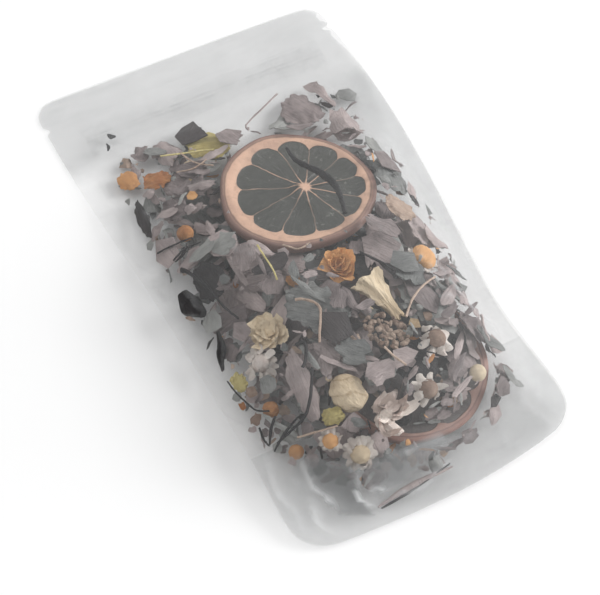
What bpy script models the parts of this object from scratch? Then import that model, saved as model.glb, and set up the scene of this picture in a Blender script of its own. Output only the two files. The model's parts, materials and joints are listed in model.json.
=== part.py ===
"""Stand-up zipper pouch of frosted film, lying on its back and filled with dried citrus, petals and flowers.

The film is three webs: a front panel, a back panel and a bottom gusset folded between them. A press-to-close
zipper runs inside, below the header. The contents are real pieces: each one is pressed up under the front
panel, or under a piece that lies above it, until it seats. A heap of fused petals fills what is left below.

Metres, +Z up. The origin is on the resting surface, below the middle of the pouch. +Y runs to the header.
"""

import math

import bmesh
import bpy
from mathutils import Matrix, Vector
from mathutils.bvhtree import BVHTree

# The film pouch, measured as it lies filled
POUCH_WIDTH = 0.110
POUCH_LENGTH = 0.184
FILM = 0.0002
WELD_GAP = 0.0003
SIDE_SEAL = 0.006
TOP_SEAL = 0.005
BOTTOM_SEAL = 0.004
TOP_CORNER_RADIUS = 0.008
BOTTOM_CORNER_RADIUS = 0.013
BOTTOM_BOW_LEFT = 0.0018
BOTTOM_BOW_RIGHT = 0.0036

# How the filled film draws in and bends: stations along the pouch, each with the reach of its left and right
# edge. All are shares of half the pouch's length or width.
EDGE_STATIONS = (
    (1.00, 1.060, 0.960),
    (0.87, 1.050, 0.968),
    (0.65, 1.038, 1.006),
    (0.42, 1.020, 1.000),
    (0.08, 0.988, 0.938),
    (-0.40, 0.950, 0.862),
    (-0.56, 0.938, 0.864),
    (-0.84, 0.926, 0.936),
    (-1.00, 0.930, 0.962),
)
NOTCH_DROP = 0.011
NOTCH_DEPTH = 0.0022
NOTCH_HALF_HEIGHT = 0.0013
GUSSET_DEPTH = 0.036
SEAL_ARC_DEPTH = 0.038

# How far the contents push the film out
CROWN = 0.0185
SEAM_RISE = 0.006
FULLNESS_POWER = 3.2
BACK_FLAT_SHARE = 0.5
FILM_STEP = 0.0075
FILM_COLUMNS = 7

# The press-to-close zipper
ZIPPER_DROP = 0.0205
ZIPPER_FLANGE_WIDTH = 0.010
ZIPPER_FLANGE = 0.00025
FLANGE_MARGIN = 0.001
HOOK_WALL = 0.0003
HOOK_LIP = 0.00035
GROOVE_HALF_WIDTH = 0.00095
RIB_CLEARANCE = 0.00018
RIB_HEAD_HEIGHT = 0.0007
STEM_HALF_WIDTH = 0.0003

# The contents
SEAT_GAP = 0.0003
PETAL_LENGTH = 0.027
PETAL_WIDTH = 0.023
PETAL_CUP = 0.0034
LEAF_LENGTH = 0.030
LEAF_WIDTH = 0.0095
LEAF_CUP = 0.0022
PETAL_RIPPLE = 0.0011
LOW_PETAL_LENGTH = 0.0243
LOW_PETAL_WIDTH = 0.0207
LOW_PETAL_CUP = 0.0020
STALK_LENGTH = 0.021
STALK_BOW = 0.003
DRIED_WALL = 0.0004
CITRUS_RADIUS = 0.0261
LOWER_CITRUS_RADIUS = 0.0270
CITRUS_THICKNESS = 0.0042
CITRUS_SAG = 0.0022
SEGMENT_SINK = 0.0008
SLICE_TILT = 6
LOWER_SLICE_TILT = 9
RIND_WIDTH = 0.0016
DAISY_RADIUS = 0.0062
BUD_RADIUS = 0.0058
BUD_LENGTH = 0.0135
BERRY_RADIUS = 0.0031
TRUMPET_LENGTH = 0.019
TRUMPET_MOUTH = 0.0052
STEM_RADIUS = 0.0005
HEAP_STEP = 0.0048
HEAP_LEAST = 0.0012
TOP_LAYER = 0.0060

TOP_Y = POUCH_LENGTH / 2
BOTTOM_Y = -POUCH_LENGTH / 2
ZIPPER_Y = TOP_Y - ZIPPER_DROP
NOTCH_Y = TOP_Y - NOTCH_DROP
FOLD_Y = BOTTOM_Y + GUSSET_DEPTH
ARC_Y = BOTTOM_Y + BOTTOM_SEAL + SEAL_ARC_DEPTH
ZIPPER_STACK = 2 * ZIPPER_FLANGE + RIB_HEAD_HEIGHT + 2 * RIB_CLEARANCE + HOOK_LIP + WELD_GAP
UP = Vector((0, 0, 1))


def smooth(start, end, value):
    """0 at start, 1 at end, level at both."""
    t = min(1.0, max(0.0, (value - start) / (end - start)))
    return t * t * (3 - 2 * t)


# The form of the film

def fullness(y):
    """How far the contents fill the pouch at this length: 0 at the zipper, 1 where it is thickest."""
    start = ZIPPER_Y - ZIPPER_FLANGE_WIDTH / 2
    down = min(1.0, max(0.0, (start - y) / (start + 0.03 * POUCH_LENGTH)))
    above = (smooth(0, 1, down) + 1 - (1 - down) ** 2) / 2
    return above * (1 - 0.35 * smooth(ARC_Y, BOTTOM_Y, y))


def edge_reach(y, side):
    """How far the film's side edge stands from the middle line at this length, its corners left square. The
    edge is a smooth curve through the stations."""
    shares = [station[0] for station in EDGE_STATIONS]
    reaches = [station[2 if side > 0 else 1] for station in EDGE_STATIONS]
    last = len(shares) - 1
    share = y / (POUCH_LENGTH / 2)
    k = max([0] + [i for i in range(last) if shares[i] >= share])

    def slope(i):
        before, after = max(i - 1, 0), min(i + 1, last)
        return (reaches[after] - reaches[before]) / (shares[after] - shares[before])

    span = shares[k + 1] - shares[k]
    t = (share - shares[k]) / span
    start = (1 + 2 * t) * (1 - t) ** 2 * reaches[k] + t * (1 - t) ** 2 * span * slope(k)
    end = t**2 * (3 - 2 * t) * reaches[k + 1] + t**2 * (t - 1) * span * slope(k + 1)
    return POUCH_WIDTH / 2 * (start + end)


def half_width(y, side):
    """Half the width of the pouch's outline at this length, on the left (-1) or the right (1)."""
    width = edge_reach(y, side)
    for edge, radius in ((TOP_Y - y, TOP_CORNER_RADIUS), (y - BOTTOM_Y, BOTTOM_CORNER_RADIUS)):
        if edge < radius:
            width -= radius - math.sqrt(max(0.0, radius**2 - (radius - edge) ** 2))
    off_notch = abs(y - NOTCH_Y)
    if off_notch < NOTCH_HALF_HEIGHT:
        width -= NOTCH_DEPTH * (1 - off_notch / NOTCH_HALF_HEIGHT)
    return width


def seal_share(x, y):
    """0 in the middle of the cavity and 1 at its seals: the two side seals and the curved bottom seal."""
    across = abs(x) / (edge_reach(y, x) - SIDE_SEAL)
    down = max(0.0, (ARC_Y - y) / SEAL_ARC_DEPTH)
    return math.hypot(across, down)


def seam_rise(y):
    """How high the seams lie above the resting surface, lifted by the fill."""
    return SEAM_RISE * smooth(ZIPPER_Y - ZIPPER_FLANGE_WIDTH, 0, y) * (1 - 0.8 * smooth(ARC_Y, BOTTOM_Y, y))


def back_top(x, y):
    """Upper side of the back panel: flat in the middle, and rising to the seams."""
    return FILM + seam_rise(y) * smooth(BACK_FLAT_SHARE, 1, seal_share(x, y))


def gusset_stack(y):
    """Room for the gusset's two leaves between the panels."""
    return 2 * (FILM + WELD_GAP) * smooth(FOLD_Y + 0.6 * GUSSET_DEPTH, FOLD_Y + GUSSET_DEPTH / 18, y)


def zipper_room(x, y):
    """Room for the closed zipper between the panels."""
    reach = abs(y - ZIPPER_Y) - ZIPPER_FLANGE_WIDTH / 2 - FLANGE_MARGIN
    end = TOP_Y - TOP_SEAL - ZIPPER_Y - ZIPPER_FLANGE_WIDTH / 2 - FLANGE_MARGIN
    along = 1 - smooth(0, end if y > ZIPPER_Y else 3 * end, reach)
    return (ZIPPER_STACK + WELD_GAP) * along * smooth(1, 0.93, seal_share(x, y))


def front_under(x, y):
    """Under side of the front panel."""
    share = min(1.0, seal_share(x, y))
    crown = CROWN * fullness(y) * (1 - share**FULLNESS_POWER)
    return FILM + seam_rise(y) + WELD_GAP + gusset_stack(y) + zipper_room(x, y) + crown


# Meshes and objects

def material(name, colour, roughness, alpha=1.0):
    """A plain finish for one kind of piece."""
    made = bpy.data.materials.get(name)
    if made is None:
        made = bpy.data.materials.new(name)
        made.use_nodes = True
        surface = made.node_tree.nodes["Principled BSDF"]
        surface.inputs["Base Color"].default_value = (*colour, 1)
        surface.inputs["Roughness"].default_value = roughness
        surface.inputs["Metallic"].default_value = 0.0
        surface.inputs["Alpha"].default_value = alpha
    return made


def build(name, shape, finish, sharp=35):
    """Makes one named object from a closed bmesh."""
    bmesh.ops.remove_doubles(shape, verts=shape.verts, dist=1e-6)
    bmesh.ops.recalc_face_normals(shape, faces=shape.faces)
    mesh = bpy.data.meshes.new(name)
    shape.to_mesh(mesh)
    shape.free()
    mesh.shade_smooth()
    mesh.set_sharp_from_angle(angle=math.radians(sharp))
    mesh.materials.append(finish)
    made = bpy.data.objects.new(name, mesh)
    bpy.context.scene.collection.objects.link(made)
    return made


def thin_shell(points, thickness, normals=None):
    """A closed sheet of even thickness about a grid of points. The normals may be given."""
    rows, columns = len(points), len(points[0])

    def normal(i, j):
        if normals:
            return normals[i][j]
        along = points[min(i + 1, rows - 1)][j] - points[max(i - 1, 0)][j]
        across = points[i][min(j + 1, columns - 1)] - points[i][max(j - 1, 0)]
        return across.cross(along).normalized()

    shape = bmesh.new()
    sides = []
    for side in (0.5, -0.5):
        sides.append([
            [shape.verts.new(points[i][j] + normal(i, j) * thickness * side) for j in range(columns)]
            for i in range(rows)
        ])
    top, bottom = sides
    for i in range(rows - 1):
        for j in range(columns - 1):
            shape.faces.new((top[i][j], top[i][j + 1], top[i + 1][j + 1], top[i + 1][j]))
            shape.faces.new((bottom[i][j], bottom[i + 1][j], bottom[i + 1][j + 1], bottom[i][j + 1]))
    rim = [(0, j) for j in range(columns)] + [(i, columns - 1) for i in range(1, rows)]
    rim += [(rows - 1, j) for j in range(columns - 2, -1, -1)] + [(i, 0) for i in range(rows - 2, 0, -1)]
    for (a, b), (c, d) in zip(rim, rim[1:] + rim[:1]):
        shape.faces.new((top[a][b], bottom[a][b], bottom[c][d], top[c][d]))
    return shape


# The film webs

def lengths(from_y, to_y, step):
    """Even stations between two lengths, both included."""
    count = max(1, round(abs(to_y - from_y) / step))
    return [from_y + (to_y - from_y) * k / count for k in range(count + 1)]


def corner_rows(edge, radius, inward):
    """Stations down a rounded corner, closer together at the edge."""
    return [edge + inward * radius * (1 - math.sin(math.radians(angle))) for angle in (90, 65, 40, 20, 0)]


def outline_rows(step):
    """Stations along the pouch, from the header to the bottom edge."""
    rows = corner_rows(TOP_Y, TOP_CORNER_RADIUS, -1)
    rows += [NOTCH_Y + NOTCH_HALF_HEIGHT, NOTCH_Y, NOTCH_Y - NOTCH_HALF_HEIGHT]
    half_flange = ZIPPER_FLANGE_WIDTH / 2 + FLANGE_MARGIN
    rows += [ZIPPER_Y + half_flange, ZIPPER_Y, ZIPPER_Y - half_flange]
    rows += lengths(ZIPPER_Y - half_flange - step, FOLD_Y + GUSSET_DEPTH / 6, step)
    rows += [FOLD_Y + GUSSET_DEPTH / 18]
    rows += lengths(FOLD_Y, BOTTOM_Y + BOTTOM_CORNER_RADIUS, step)[:-1]
    rows += corner_rows(BOTTOM_Y, BOTTOM_CORNER_RADIUS, 1)[::-1]
    return sorted(set(rows), reverse=True)


def shares_across(count):
    """Shares of the half width, with lines on the side seals' inner edges."""
    inner = 1 - SIDE_SEAL / (POUCH_WIDTH / 2)
    across = [inner * 0.93 * k / count for k in range(-count, count + 1)]
    return [-1, -inner] + across + [inner, 1]


def on_outline(y, share):
    """A point of the outline's grid, with the bottom edge bowed out in the middle."""
    x = share * half_width(y, share)
    bow = BOTTOM_BOW_RIGHT if share > 0 else BOTTOM_BOW_LEFT
    return x, y + bow * share**2 * smooth(ARC_Y, BOTTOM_Y, y)


def panel(name, height, step, count, finish):
    """One panel of film over the whole outline, at the height that the function gives."""
    points = []
    for y in outline_rows(step):
        spots = [on_outline(y, share) for share in shares_across(count)]
        points.append([Vector((x, row, height(x, row))) for x, row in spots])
    normals = [[UP] * len(row) for row in points]
    return build(name, thin_shell(points, FILM, normals), finish)


def gusset(name, step, count, finish):
    """The bottom web: folded in two, its leaves open at the bottom edge and folded at the top."""
    rows = sorted(y for y in outline_rows(step) if y <= FOLD_Y)
    lower, spread = WELD_GAP + FILM / 2, WELD_GAP + FILM
    stations = [(y, lower + spread, UP) for y in rows]
    stations += [(FOLD_Y + spread / 2, lower + spread / 2, Vector((0, 1, 0)))]
    stations += [(y, lower, -UP) for y in reversed(rows)]
    points, normals = [], []
    for y, lift, facing in stations:
        spots = [on_outline(y, share) for share in shares_across(count)]
        points.append([Vector((x, row, back_top(x, row) + lift)) for x, row in spots])
        normals.append([facing] * len(spots))
    return build(name, thin_shell(points, FILM, normals), finish)


def extrusion(name, outline, finish):
    """A strip of one section (a list of points across the pouch) run between the side seals."""
    reaches = [side * (edge_reach(ZIPPER_Y, side) - SIDE_SEAL) * 0.91 for side in (-1, 1)]
    shape = bmesh.new()
    ends = [[shape.verts.new((x, y, z)) for y, z in outline] for x in reaches]
    shape.faces.new(ends[0])
    shape.faces.new(ends[1][::-1])
    for k in range(len(outline)):
        after = (k + 1) % len(outline)
        shape.faces.new((ends[0][k], ends[1][k], ends[1][after], ends[0][after]))
    return build(name, shape, finish)


def zipper_groove(finish):
    """The groove track, welded to the back panel: a flange with two hooks."""
    base = FILM + WELD_GAP
    floor = base + ZIPPER_FLANGE
    under_lip = floor + RIB_HEAD_HEIGHT + 2 * RIB_CLEARANCE
    top = under_lip + HOOK_LIP
    outer = GROOVE_HALF_WIDTH + HOOK_WALL
    lip = GROOVE_HALF_WIDTH - HOOK_LIP
    edge = ZIPPER_FLANGE_WIDTH / 2
    half = [(edge, base), (edge, floor), (outer, floor), (outer, top), (lip, top), (lip, under_lip),
            (GROOVE_HALF_WIDTH, under_lip), (GROOVE_HALF_WIDTH, floor)]
    section = [(ZIPPER_Y + y, z) for y, z in half] + [(ZIPPER_Y - y, z) for y, z in reversed(half)]
    return extrusion("zipper_groove_track", section, finish)


def zipper_rib(finish):
    """The rib track, welded to the front panel: a flange with a headed rib that snaps into the groove."""
    top = FILM + WELD_GAP + ZIPPER_STACK
    under = top - ZIPPER_FLANGE
    head_foot = FILM + WELD_GAP + ZIPPER_FLANGE + RIB_CLEARANCE
    head_top = head_foot + RIB_HEAD_HEIGHT
    head = GROOVE_HALF_WIDTH - RIB_CLEARANCE
    edge = ZIPPER_FLANGE_WIDTH / 2
    half = [(edge, top), (edge, under), (STEM_HALF_WIDTH, under), (STEM_HALF_WIDTH, head_top), (head, head_top),
            (STEM_HALF_WIDTH, head_foot)]
    section = [(ZIPPER_Y + y, z) for y, z in half] + [(ZIPPER_Y - y, z) for y, z in reversed(half)]
    return extrusion("zipper_rib_track", section, finish)


# The dried pieces, each about its own middle and facing up

def blade(length, width, cup, roundness, ripple=0.0, rows=6, columns=4):
    """A petal or leaf: a thin cupped sheet, rounded (roundness near 0.5) or pointed (near 1)."""
    points = []
    for i in range(rows):
        along = i / (rows - 1)
        half = width / 2 * max(0.2, math.sin(math.pi * (0.06 + 0.86 * along)) ** roundness)
        row = []
        for j in range(columns):
            across = -1 + 2 * j / (columns - 1)
            dip = cup * (0.65 * across**2 + 0.35 * (2 * along - 1) ** 2)
            wave = ripple * across * math.sin(7 * along + 1.7 * across)
            row.append(Vector((across * half, (along - 0.5) * length, wave - dip)))
        points.append(row)
    return thin_shell(points, DRIED_WALL)


def polar(rings, stations, centre_low, centre_high):
    """A closed body from rings of (radius, height) functions of the angle, low centre to high centre."""
    shape = bmesh.new()
    angles = [2 * math.pi * k / stations for k in range(stations)]
    loops = [[shape.verts.new(ring(angle, k)) for k, angle in enumerate(angles)] for ring in rings]
    low, high = shape.verts.new(centre_low), shape.verts.new(centre_high)
    for k in range(stations):
        after = (k + 1) % stations
        shape.faces.new((low, loops[0][after], loops[0][k]))
        shape.faces.new((high, loops[-1][k], loops[-1][after]))
        for inner, outer in zip(loops, loops[1:]):
            shape.faces.new((inner[k], inner[after], outer[after], outer[k]))
    return shape


def at_angle(angle, radius, height):
    return Vector((radius * math.cos(angle), radius * math.sin(angle), height))


def citrus(segments, radius=CITRUS_RADIUS):
    """A slice of citrus: rind, white pith and membranes, with each segment's flesh sunk between them."""
    half = CITRUS_THICKNESS / 2
    per_segment = 4
    flesh_in, scallop, pith_out = 0.15 * radius, 0.05 * radius, radius - RIND_WIDTH

    def place(angle, r, height):
        ragged = 1 + 0.02 * math.sin(3 * angle + 0.6)
        x, y = r * ragged * math.cos(angle), r * ragged * math.sin(angle)
        return Vector((x, y, height - CITRUS_SAG * (x / radius) ** 2 + 0.4 * CITRUS_SAG * (y / radius) ** 3))

    def bent(angle, k):
        """Stations 1 and 3 of a segment stand beside its membranes, and 0 stands on one."""
        within = k % per_segment
        turn = {1: -0.6, 3: 0.6}.get(within, 0.0)
        return angle + turn * math.pi / (2 * segments)

    def pith(r, height):
        return lambda angle, k: place(bent(angle, k), r, height)

    def flesh(r, side, bulge):
        def ring(angle, k):
            inside = k % per_segment
            sink = SEGMENT_SINK if inside else 0.0
            reach = r + (scallop if bulge and inside == 2 else 0.0)
            return place(bent(angle, k), reach, side * (half - sink))
        return ring

    core = 0.1 * radius
    rings = [pith(core, -half), flesh(flesh_in, -1, False), flesh(0.78 * radius, -1, True), pith(pith_out, -half),
             pith(radius, -0.5 * half), pith(radius, 0.5 * half), pith(pith_out, half),
             flesh(0.78 * radius, 1, True), flesh(flesh_in, 1, False), pith(core, half)]
    return polar(rings, segments * per_segment, (0, 0, -half), (0, 0, half))


def daisy(radius=DAISY_RADIUS, petals=8):
    """A camomile head: a domed disc with a ring of short petals bent down."""
    disc, drop = 0.52 * radius, 0.25 * radius
    thick = DRIED_WALL / 2

    def rim(r, height, lobed):
        def ring(angle, k):
            reach = r if not lobed or k % 2 == 0 else 0.72 * r
            return at_angle(angle, reach, height)
        return ring

    rings = [rim(disc, -thick, False), rim(radius, -drop - thick, True), rim(radius, -drop + thick, True),
             rim(disc, thick, False), rim(0.8 * disc, 0.55 * disc, False)]
    return polar(rings, 2 * petals, (0, 0, -0.3 * disc), (0, 0, 0.8 * disc))


def bud(length=BUD_LENGTH, radius=BUD_RADIUS, folds=5):
    """A rose bud lying on its side: a pointed body with its petals wrapped round it."""
    profile = [(0.08, 0.45), (0.3, 0.95), (0.55, 1.0), (0.8, 0.72), (0.94, 0.3)]

    def ring_at(along, share):
        def ring(angle, k):
            wrap = 1 + 0.09 * math.cos(folds * angle + 4 * along)
            r = radius * share * wrap
            return Vector((r * math.cos(angle), (along - 0.5) * length, 0.8 * r * math.sin(angle)))
        return ring

    return polar([ring_at(*p) for p in profile], 10, (0, -0.5 * length, 0), (0, 0.5 * length, 0))


def berry(radius=BERRY_RADIUS, squash=0.85):
    """A small dried berry or half a fruit, slightly flattened and shrunk."""
    def ring_at(angle_up):
        def ring(angle, k):
            r = radius * math.cos(angle_up) * (1 + 0.06 * math.sin(4 * angle))
            return at_angle(angle, r, radius * squash * math.sin(angle_up))
        return ring

    rings = [ring_at(math.radians(a)) for a in (-60, -20, 20, 60)]
    return polar(rings, 8, (0, 0, -radius * squash), (0, 0, radius * squash))


def trumpet(length=TRUMPET_LENGTH, mouth=TRUMPET_MOUTH, lobes=5):
    """A tubular flower on its side: a narrow tube that flares into a lobed mouth."""
    profile = [(0.02, 0.22), (0.45, 0.3), (0.75, 0.5), (0.97, 1.0)]

    def ring_at(along, share):
        def ring(angle, k):
            flare = 1 + 0.28 * along**4 * math.cos(lobes * angle)
            r = mouth * share * flare
            return Vector((r * math.cos(angle), (along - 0.5) * length, 0.6 * r * math.sin(angle)))
        return ring

    return polar([ring_at(*p) for p in profile], 2 * lobes, (0, -0.5 * length, 0), (0, 0.42 * length, 0))


def stalk(length, sweep, radius=STEM_RADIUS):
    """A thin bent stalk."""
    def ring_at(along):
        bow = sweep * math.sin(math.pi * along)
        r = radius * (1.3 - 0.6 * along)

        def ring(angle, k):
            return Vector((bow + r * math.cos(angle), (along - 0.5) * length, r * math.sin(angle)))
        return ring

    steps = [0.0, 0.25, 0.5, 0.75, 1.0]
    return polar([ring_at(s) for s in steps], 6, (0, -0.502 * length, 0), (0, 0.502 * length, 0))


def scaled(shape, share):
    """The same piece at another size."""
    bmesh.ops.scale(shape, vec=(share, share, share), verts=shape.verts)
    return shape


# Seating the pieces under the film

class Seated:
    """The surfaces that a later piece has to stay clear of."""

    def __init__(self):
        self.trees = []

    def add(self, made):
        self.trees.append(surface_of(made))


def surface_of(made):
    """An object's surface as a search tree, with points on its corners, edges and faces."""
    mesh = made.data
    corners = [made.matrix_world @ v.co for v in mesh.vertices]
    faces = [tuple(p.vertices) for p in mesh.polygons]
    points = list(corners)
    for a, b in (e.vertices for e in mesh.edges):
        points += [corners[a].lerp(corners[b], t) for t in (0.25, 0.5, 0.75)]
    points += [sum((corners[i] for i in face), Vector()) / len(face) for face in faces]
    return BVHTree.FromPolygons(corners, faces), points


def lift_to(moving, fixed):
    """How far up the moving surface can go before it meets one that is fixed."""
    tree, points = moving
    least = 1.0
    low = Vector((min(p.x for p in points), min(p.y for p in points)))
    high = Vector((max(p.x for p in points), max(p.y for p in points)))
    for other, others in fixed:
        for point in points:
            hit = other.ray_cast(point, UP)[0]
            if hit:
                least = min(least, hit.z - point.z)
        for point in others:
            if low.x <= point.x <= high.x and low.y <= point.y <= high.y:
                hit = tree.ray_cast(point, -UP)[0]
                if hit:
                    least = min(least, point.z - hit.z)
    return least


def film_normal(x, y):
    """Which way the front panel faces here."""
    reach = 0.05 * POUCH_WIDTH
    along_x = front_under(x + reach, y) - front_under(x - reach, y)
    along_y = front_under(x, y + reach) - front_under(x, y - reach)
    return Vector((-along_x / (2 * reach), -along_y / (2 * reach), 1)).normalized()


def clear_below(made, below):
    """True if a piece lies wholly above what it could rest on."""
    tree, points = surface_of(made)
    for other, _ in below.trees:
        if tree.overlap(other):
            return False
        for point in points:
            hit = other.ray_cast(Vector((point.x, point.y, POUCH_LENGTH)), -UP)[0]
            if hit and point.z < hit.z:
                return False
    return True


def press_up(name, shape, finish, place, turn, above, below, pitch=0.0):
    """Faces a piece along the film and lifts it until it seats under what lies above. The place is a share of
    the pouch's half width and length. Where the pouch is too shallow there, the piece lies flatter and nearer
    the middle."""
    made = build(name, shape, finish)
    inward_steps = (1.0, 0.98, 0.96, 0.94, 0.92, 0.9, 0.88, 0.85, 0.8, 0.75, 0.7, 0.6, 0.5)
    for inward, tilt in [(inward, tilt) for inward in inward_steps for tilt in (pitch, 0.5 * pitch, 0.0)]:
        x, y = inward * place[0] * POUCH_WIDTH / 2, inward * place[1] * POUCH_LENGTH / 2
        facing = UP.rotation_difference(film_normal(x, y)).to_matrix().to_4x4()
        spin = Matrix.Rotation(math.radians(tilt), 4, "X") @ Matrix.Rotation(math.radians(turn), 4, "Z")
        made.matrix_world = Matrix.Translation((x, y, -POUCH_LENGTH)) @ facing @ spin
        rise = lift_to(surface_of(made), above.trees) - SEAT_GAP
        made.matrix_world = Matrix.Translation((0, 0, rise)) @ made.matrix_world
        while any(surface_of(made)[0].overlap(tree) for tree, _ in above.trees):
            made.matrix_world = Matrix.Translation((0, 0, -SEAT_GAP / 2)) @ made.matrix_world
        if clear_below(made, below):
            break
    above.add(made)
    return made


def lay_down(name, shape, finish, place, turn, below):
    """Turns a piece in place and lets it down until it rests on what lies below."""
    made = build(name, shape, finish)
    x, y = place[0] * POUCH_WIDTH / 2, place[1] * POUCH_LENGTH / 2
    made.matrix_world = Matrix.Translation((x, y, POUCH_LENGTH)) @ Matrix.Rotation(math.radians(turn), 4, "Z")
    drop = min(lift_to(resting, [surface_of(made)]) for resting in below.trees)
    made.matrix_world = Matrix.Translation((0, 0, SEAT_GAP - drop)) @ made.matrix_world
    while any(surface_of(made)[0].overlap(tree) for tree, _ in below.trees):
        made.matrix_world = Matrix.Translation((0, 0, SEAT_GAP / 2)) @ made.matrix_world
    below.add(made)
    return made


def heap(name, above, below, finish):
    """The petals that lie deeper, fused: it fills the space between what lies above it and what lies below."""
    gap = SEAT_GAP
    while True:
        made = build(name, heap_shape(above, below, gap), finish)
        tree = surface_of(made)[0]
        if not any(tree.overlap(other) for other, _ in above.trees + below.trees):
            return made
        bpy.data.objects.remove(made)
        gap += SEAT_GAP


def heap_shape(above, below, gap):
    """One body over square cells, kept clear of all the other pieces by the gap."""
    half_x = (POUCH_WIDTH / 2 - SIDE_SEAL) * 0.9
    xs = lengths(-half_x, half_x, HEAP_STEP)
    ys = lengths(BOTTOM_Y + BOTTOM_SEAL, ZIPPER_Y - 3 * ZIPPER_FLANGE_WIDTH / 2, HEAP_STEP)
    reach = [-1.0, -0.67, -0.33, 0.0, 0.33, 0.67, 1.0]
    top, bottom = {}, {}
    for i, x in enumerate(xs):
        for j, y in enumerate(ys):
            spots = [(x + a * HEAP_STEP, y + b * HEAP_STEP) for a in reach for b in reach]
            ceiling = min(front_under(px, py) for px, py in spots) - TOP_LAYER
            floor = max(back_top(px, py) for px, py in spots)
            for px, py in spots:
                for tree, _ in above.trees:
                    hit = tree.ray_cast(Vector((px, py, -1)), UP)[0]
                    ceiling = min(ceiling, hit.z) if hit else ceiling
                for tree, _ in below.trees:
                    hit = tree.ray_cast(Vector((px, py, 1)), -UP)[0]
                    floor = max(floor, hit.z) if hit else floor
            top[i, j], bottom[i, j] = ceiling - gap, floor + gap
    kept = largest_patch({
        (i, j)
        for i in range(len(xs) - 1) for j in range(len(ys) - 1)
        if all(top[c] - bottom[c] > HEAP_LEAST for c in ((i, j), (i + 1, j), (i, j + 1), (i + 1, j + 1)))
    })
    shape = bmesh.new()
    corner = {}

    def vert(i, j, side):
        if (i, j, side) not in corner:
            height = (top if side else bottom)[i, j]
            corner[i, j, side] = shape.verts.new((xs[i], ys[j], height))
        return corner[i, j, side]

    for i, j in sorted(kept):
        ring = [(i, j), (i + 1, j), (i + 1, j + 1), (i, j + 1)]
        shape.faces.new([vert(*c, 1) for c in ring])
        shape.faces.new([vert(*c, 0) for c in reversed(ring)])
        beside = [(i, j - 1), (i + 1, j), (i, j + 1), (i - 1, j)]
        for k in range(4):
            if beside[k] not in kept:
                a, b = ring[k], ring[(k + 1) % 4]
                shape.faces.new((vert(*a, 0), vert(*b, 0), vert(*b, 1), vert(*a, 1)))
    return shape


def largest_patch(cells):
    """The largest group of cells that join side by side, without cells that join it only at a corner."""
    best, left = set(), set(cells)
    while left:
        patch, edge = set(), [min(left)]
        while edge:
            cell = edge.pop()
            if cell in left:
                left.remove(cell)
                patch.add(cell)
                i, j = cell
                edge += [(i + 1, j), (i - 1, j), (i, j + 1), (i, j - 1)]
        if len(patch) > len(best):
            best = patch
    pinched = True
    while pinched:
        pinched = {
            (i, j) for i, j in best for a in (-1, 1) for b in (-1, 1)
            if (i + a, j + b) in best and (i + a, j) not in best and (i, j + b) not in best
        }
        best -= {min(pinched)} if pinched else set()
    return best


# Build the pouch

for old in list(bpy.data.objects):
    bpy.data.objects.remove(old)

FROSTED = material("frosted_film", (0.80, 0.81, 0.81), 0.6, alpha=0.35)
ZIPPER_WHITE = material("zipper_polythene", (0.84, 0.85, 0.85), 0.4, alpha=0.6)
PEEL = material("citrus_peel", (0.72, 0.42, 0.27), 0.7)
GREY_PETAL = material("grey_petal", (0.16, 0.14, 0.14), 0.8)
GREEN_LEAF = material("grey_green_leaf", (0.11, 0.12, 0.10), 0.8)
BLACK_PETAL = material("black_petal", (0.035, 0.03, 0.03), 0.75)
TAN_FLOWER = material("tan_flower", (0.55, 0.42, 0.32), 0.8)
CREAM_FLOWER = material("cream_flower", (0.74, 0.64, 0.48), 0.8)
WHITE_PETAL = material("white_petal", (0.78, 0.72, 0.66), 0.8)
AMBER_FRUIT = material("amber_fruit", (0.62, 0.30, 0.10), 0.6)
YELLOW_PETAL = material("yellow_petal", (0.75, 0.62, 0.16), 0.75)

front = panel("front_panel", lambda x, y: front_under(x, y) + FILM / 2, FILM_STEP, FILM_COLUMNS, FROSTED)
back = panel("back_panel", lambda x, y: back_top(x, y) - FILM / 2, FILM_STEP, FILM_COLUMNS, FROSTED)
fold = gusset("bottom_gusset", FILM_STEP, FILM_COLUMNS, FROSTED)
zipper_groove(ZIPPER_WHITE)
zipper_rib(ZIPPER_WHITE)

# Petals that lie on the back panel, as their name, finish, place and turn
under = Seated()
under.add(back)
under.add(fold)
BACK_PETALS = (
    ("back_petal_1", GREEN_LEAF, (-0.44, 0.304), 15),
    ("back_petal_2", GREY_PETAL, (0.07, 0.348), 70),
    ("back_petal_3", GREEN_LEAF, (0.49, 0.239), -25),
    ("back_petal_4", GREY_PETAL, (-0.40, 0.000), 95),
    ("back_petal_5", GREY_PETAL, (0.51, -0.087), 10),
    ("back_petal_6", GREY_PETAL, (-0.45, -0.315), -40),
)
for name, finish, place, turn in BACK_PETALS:
    lay_down(name, blade(LOW_PETAL_LENGTH, LOW_PETAL_WIDTH, -LOW_PETAL_CUP, 0.5), finish, place, turn, under)

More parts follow.
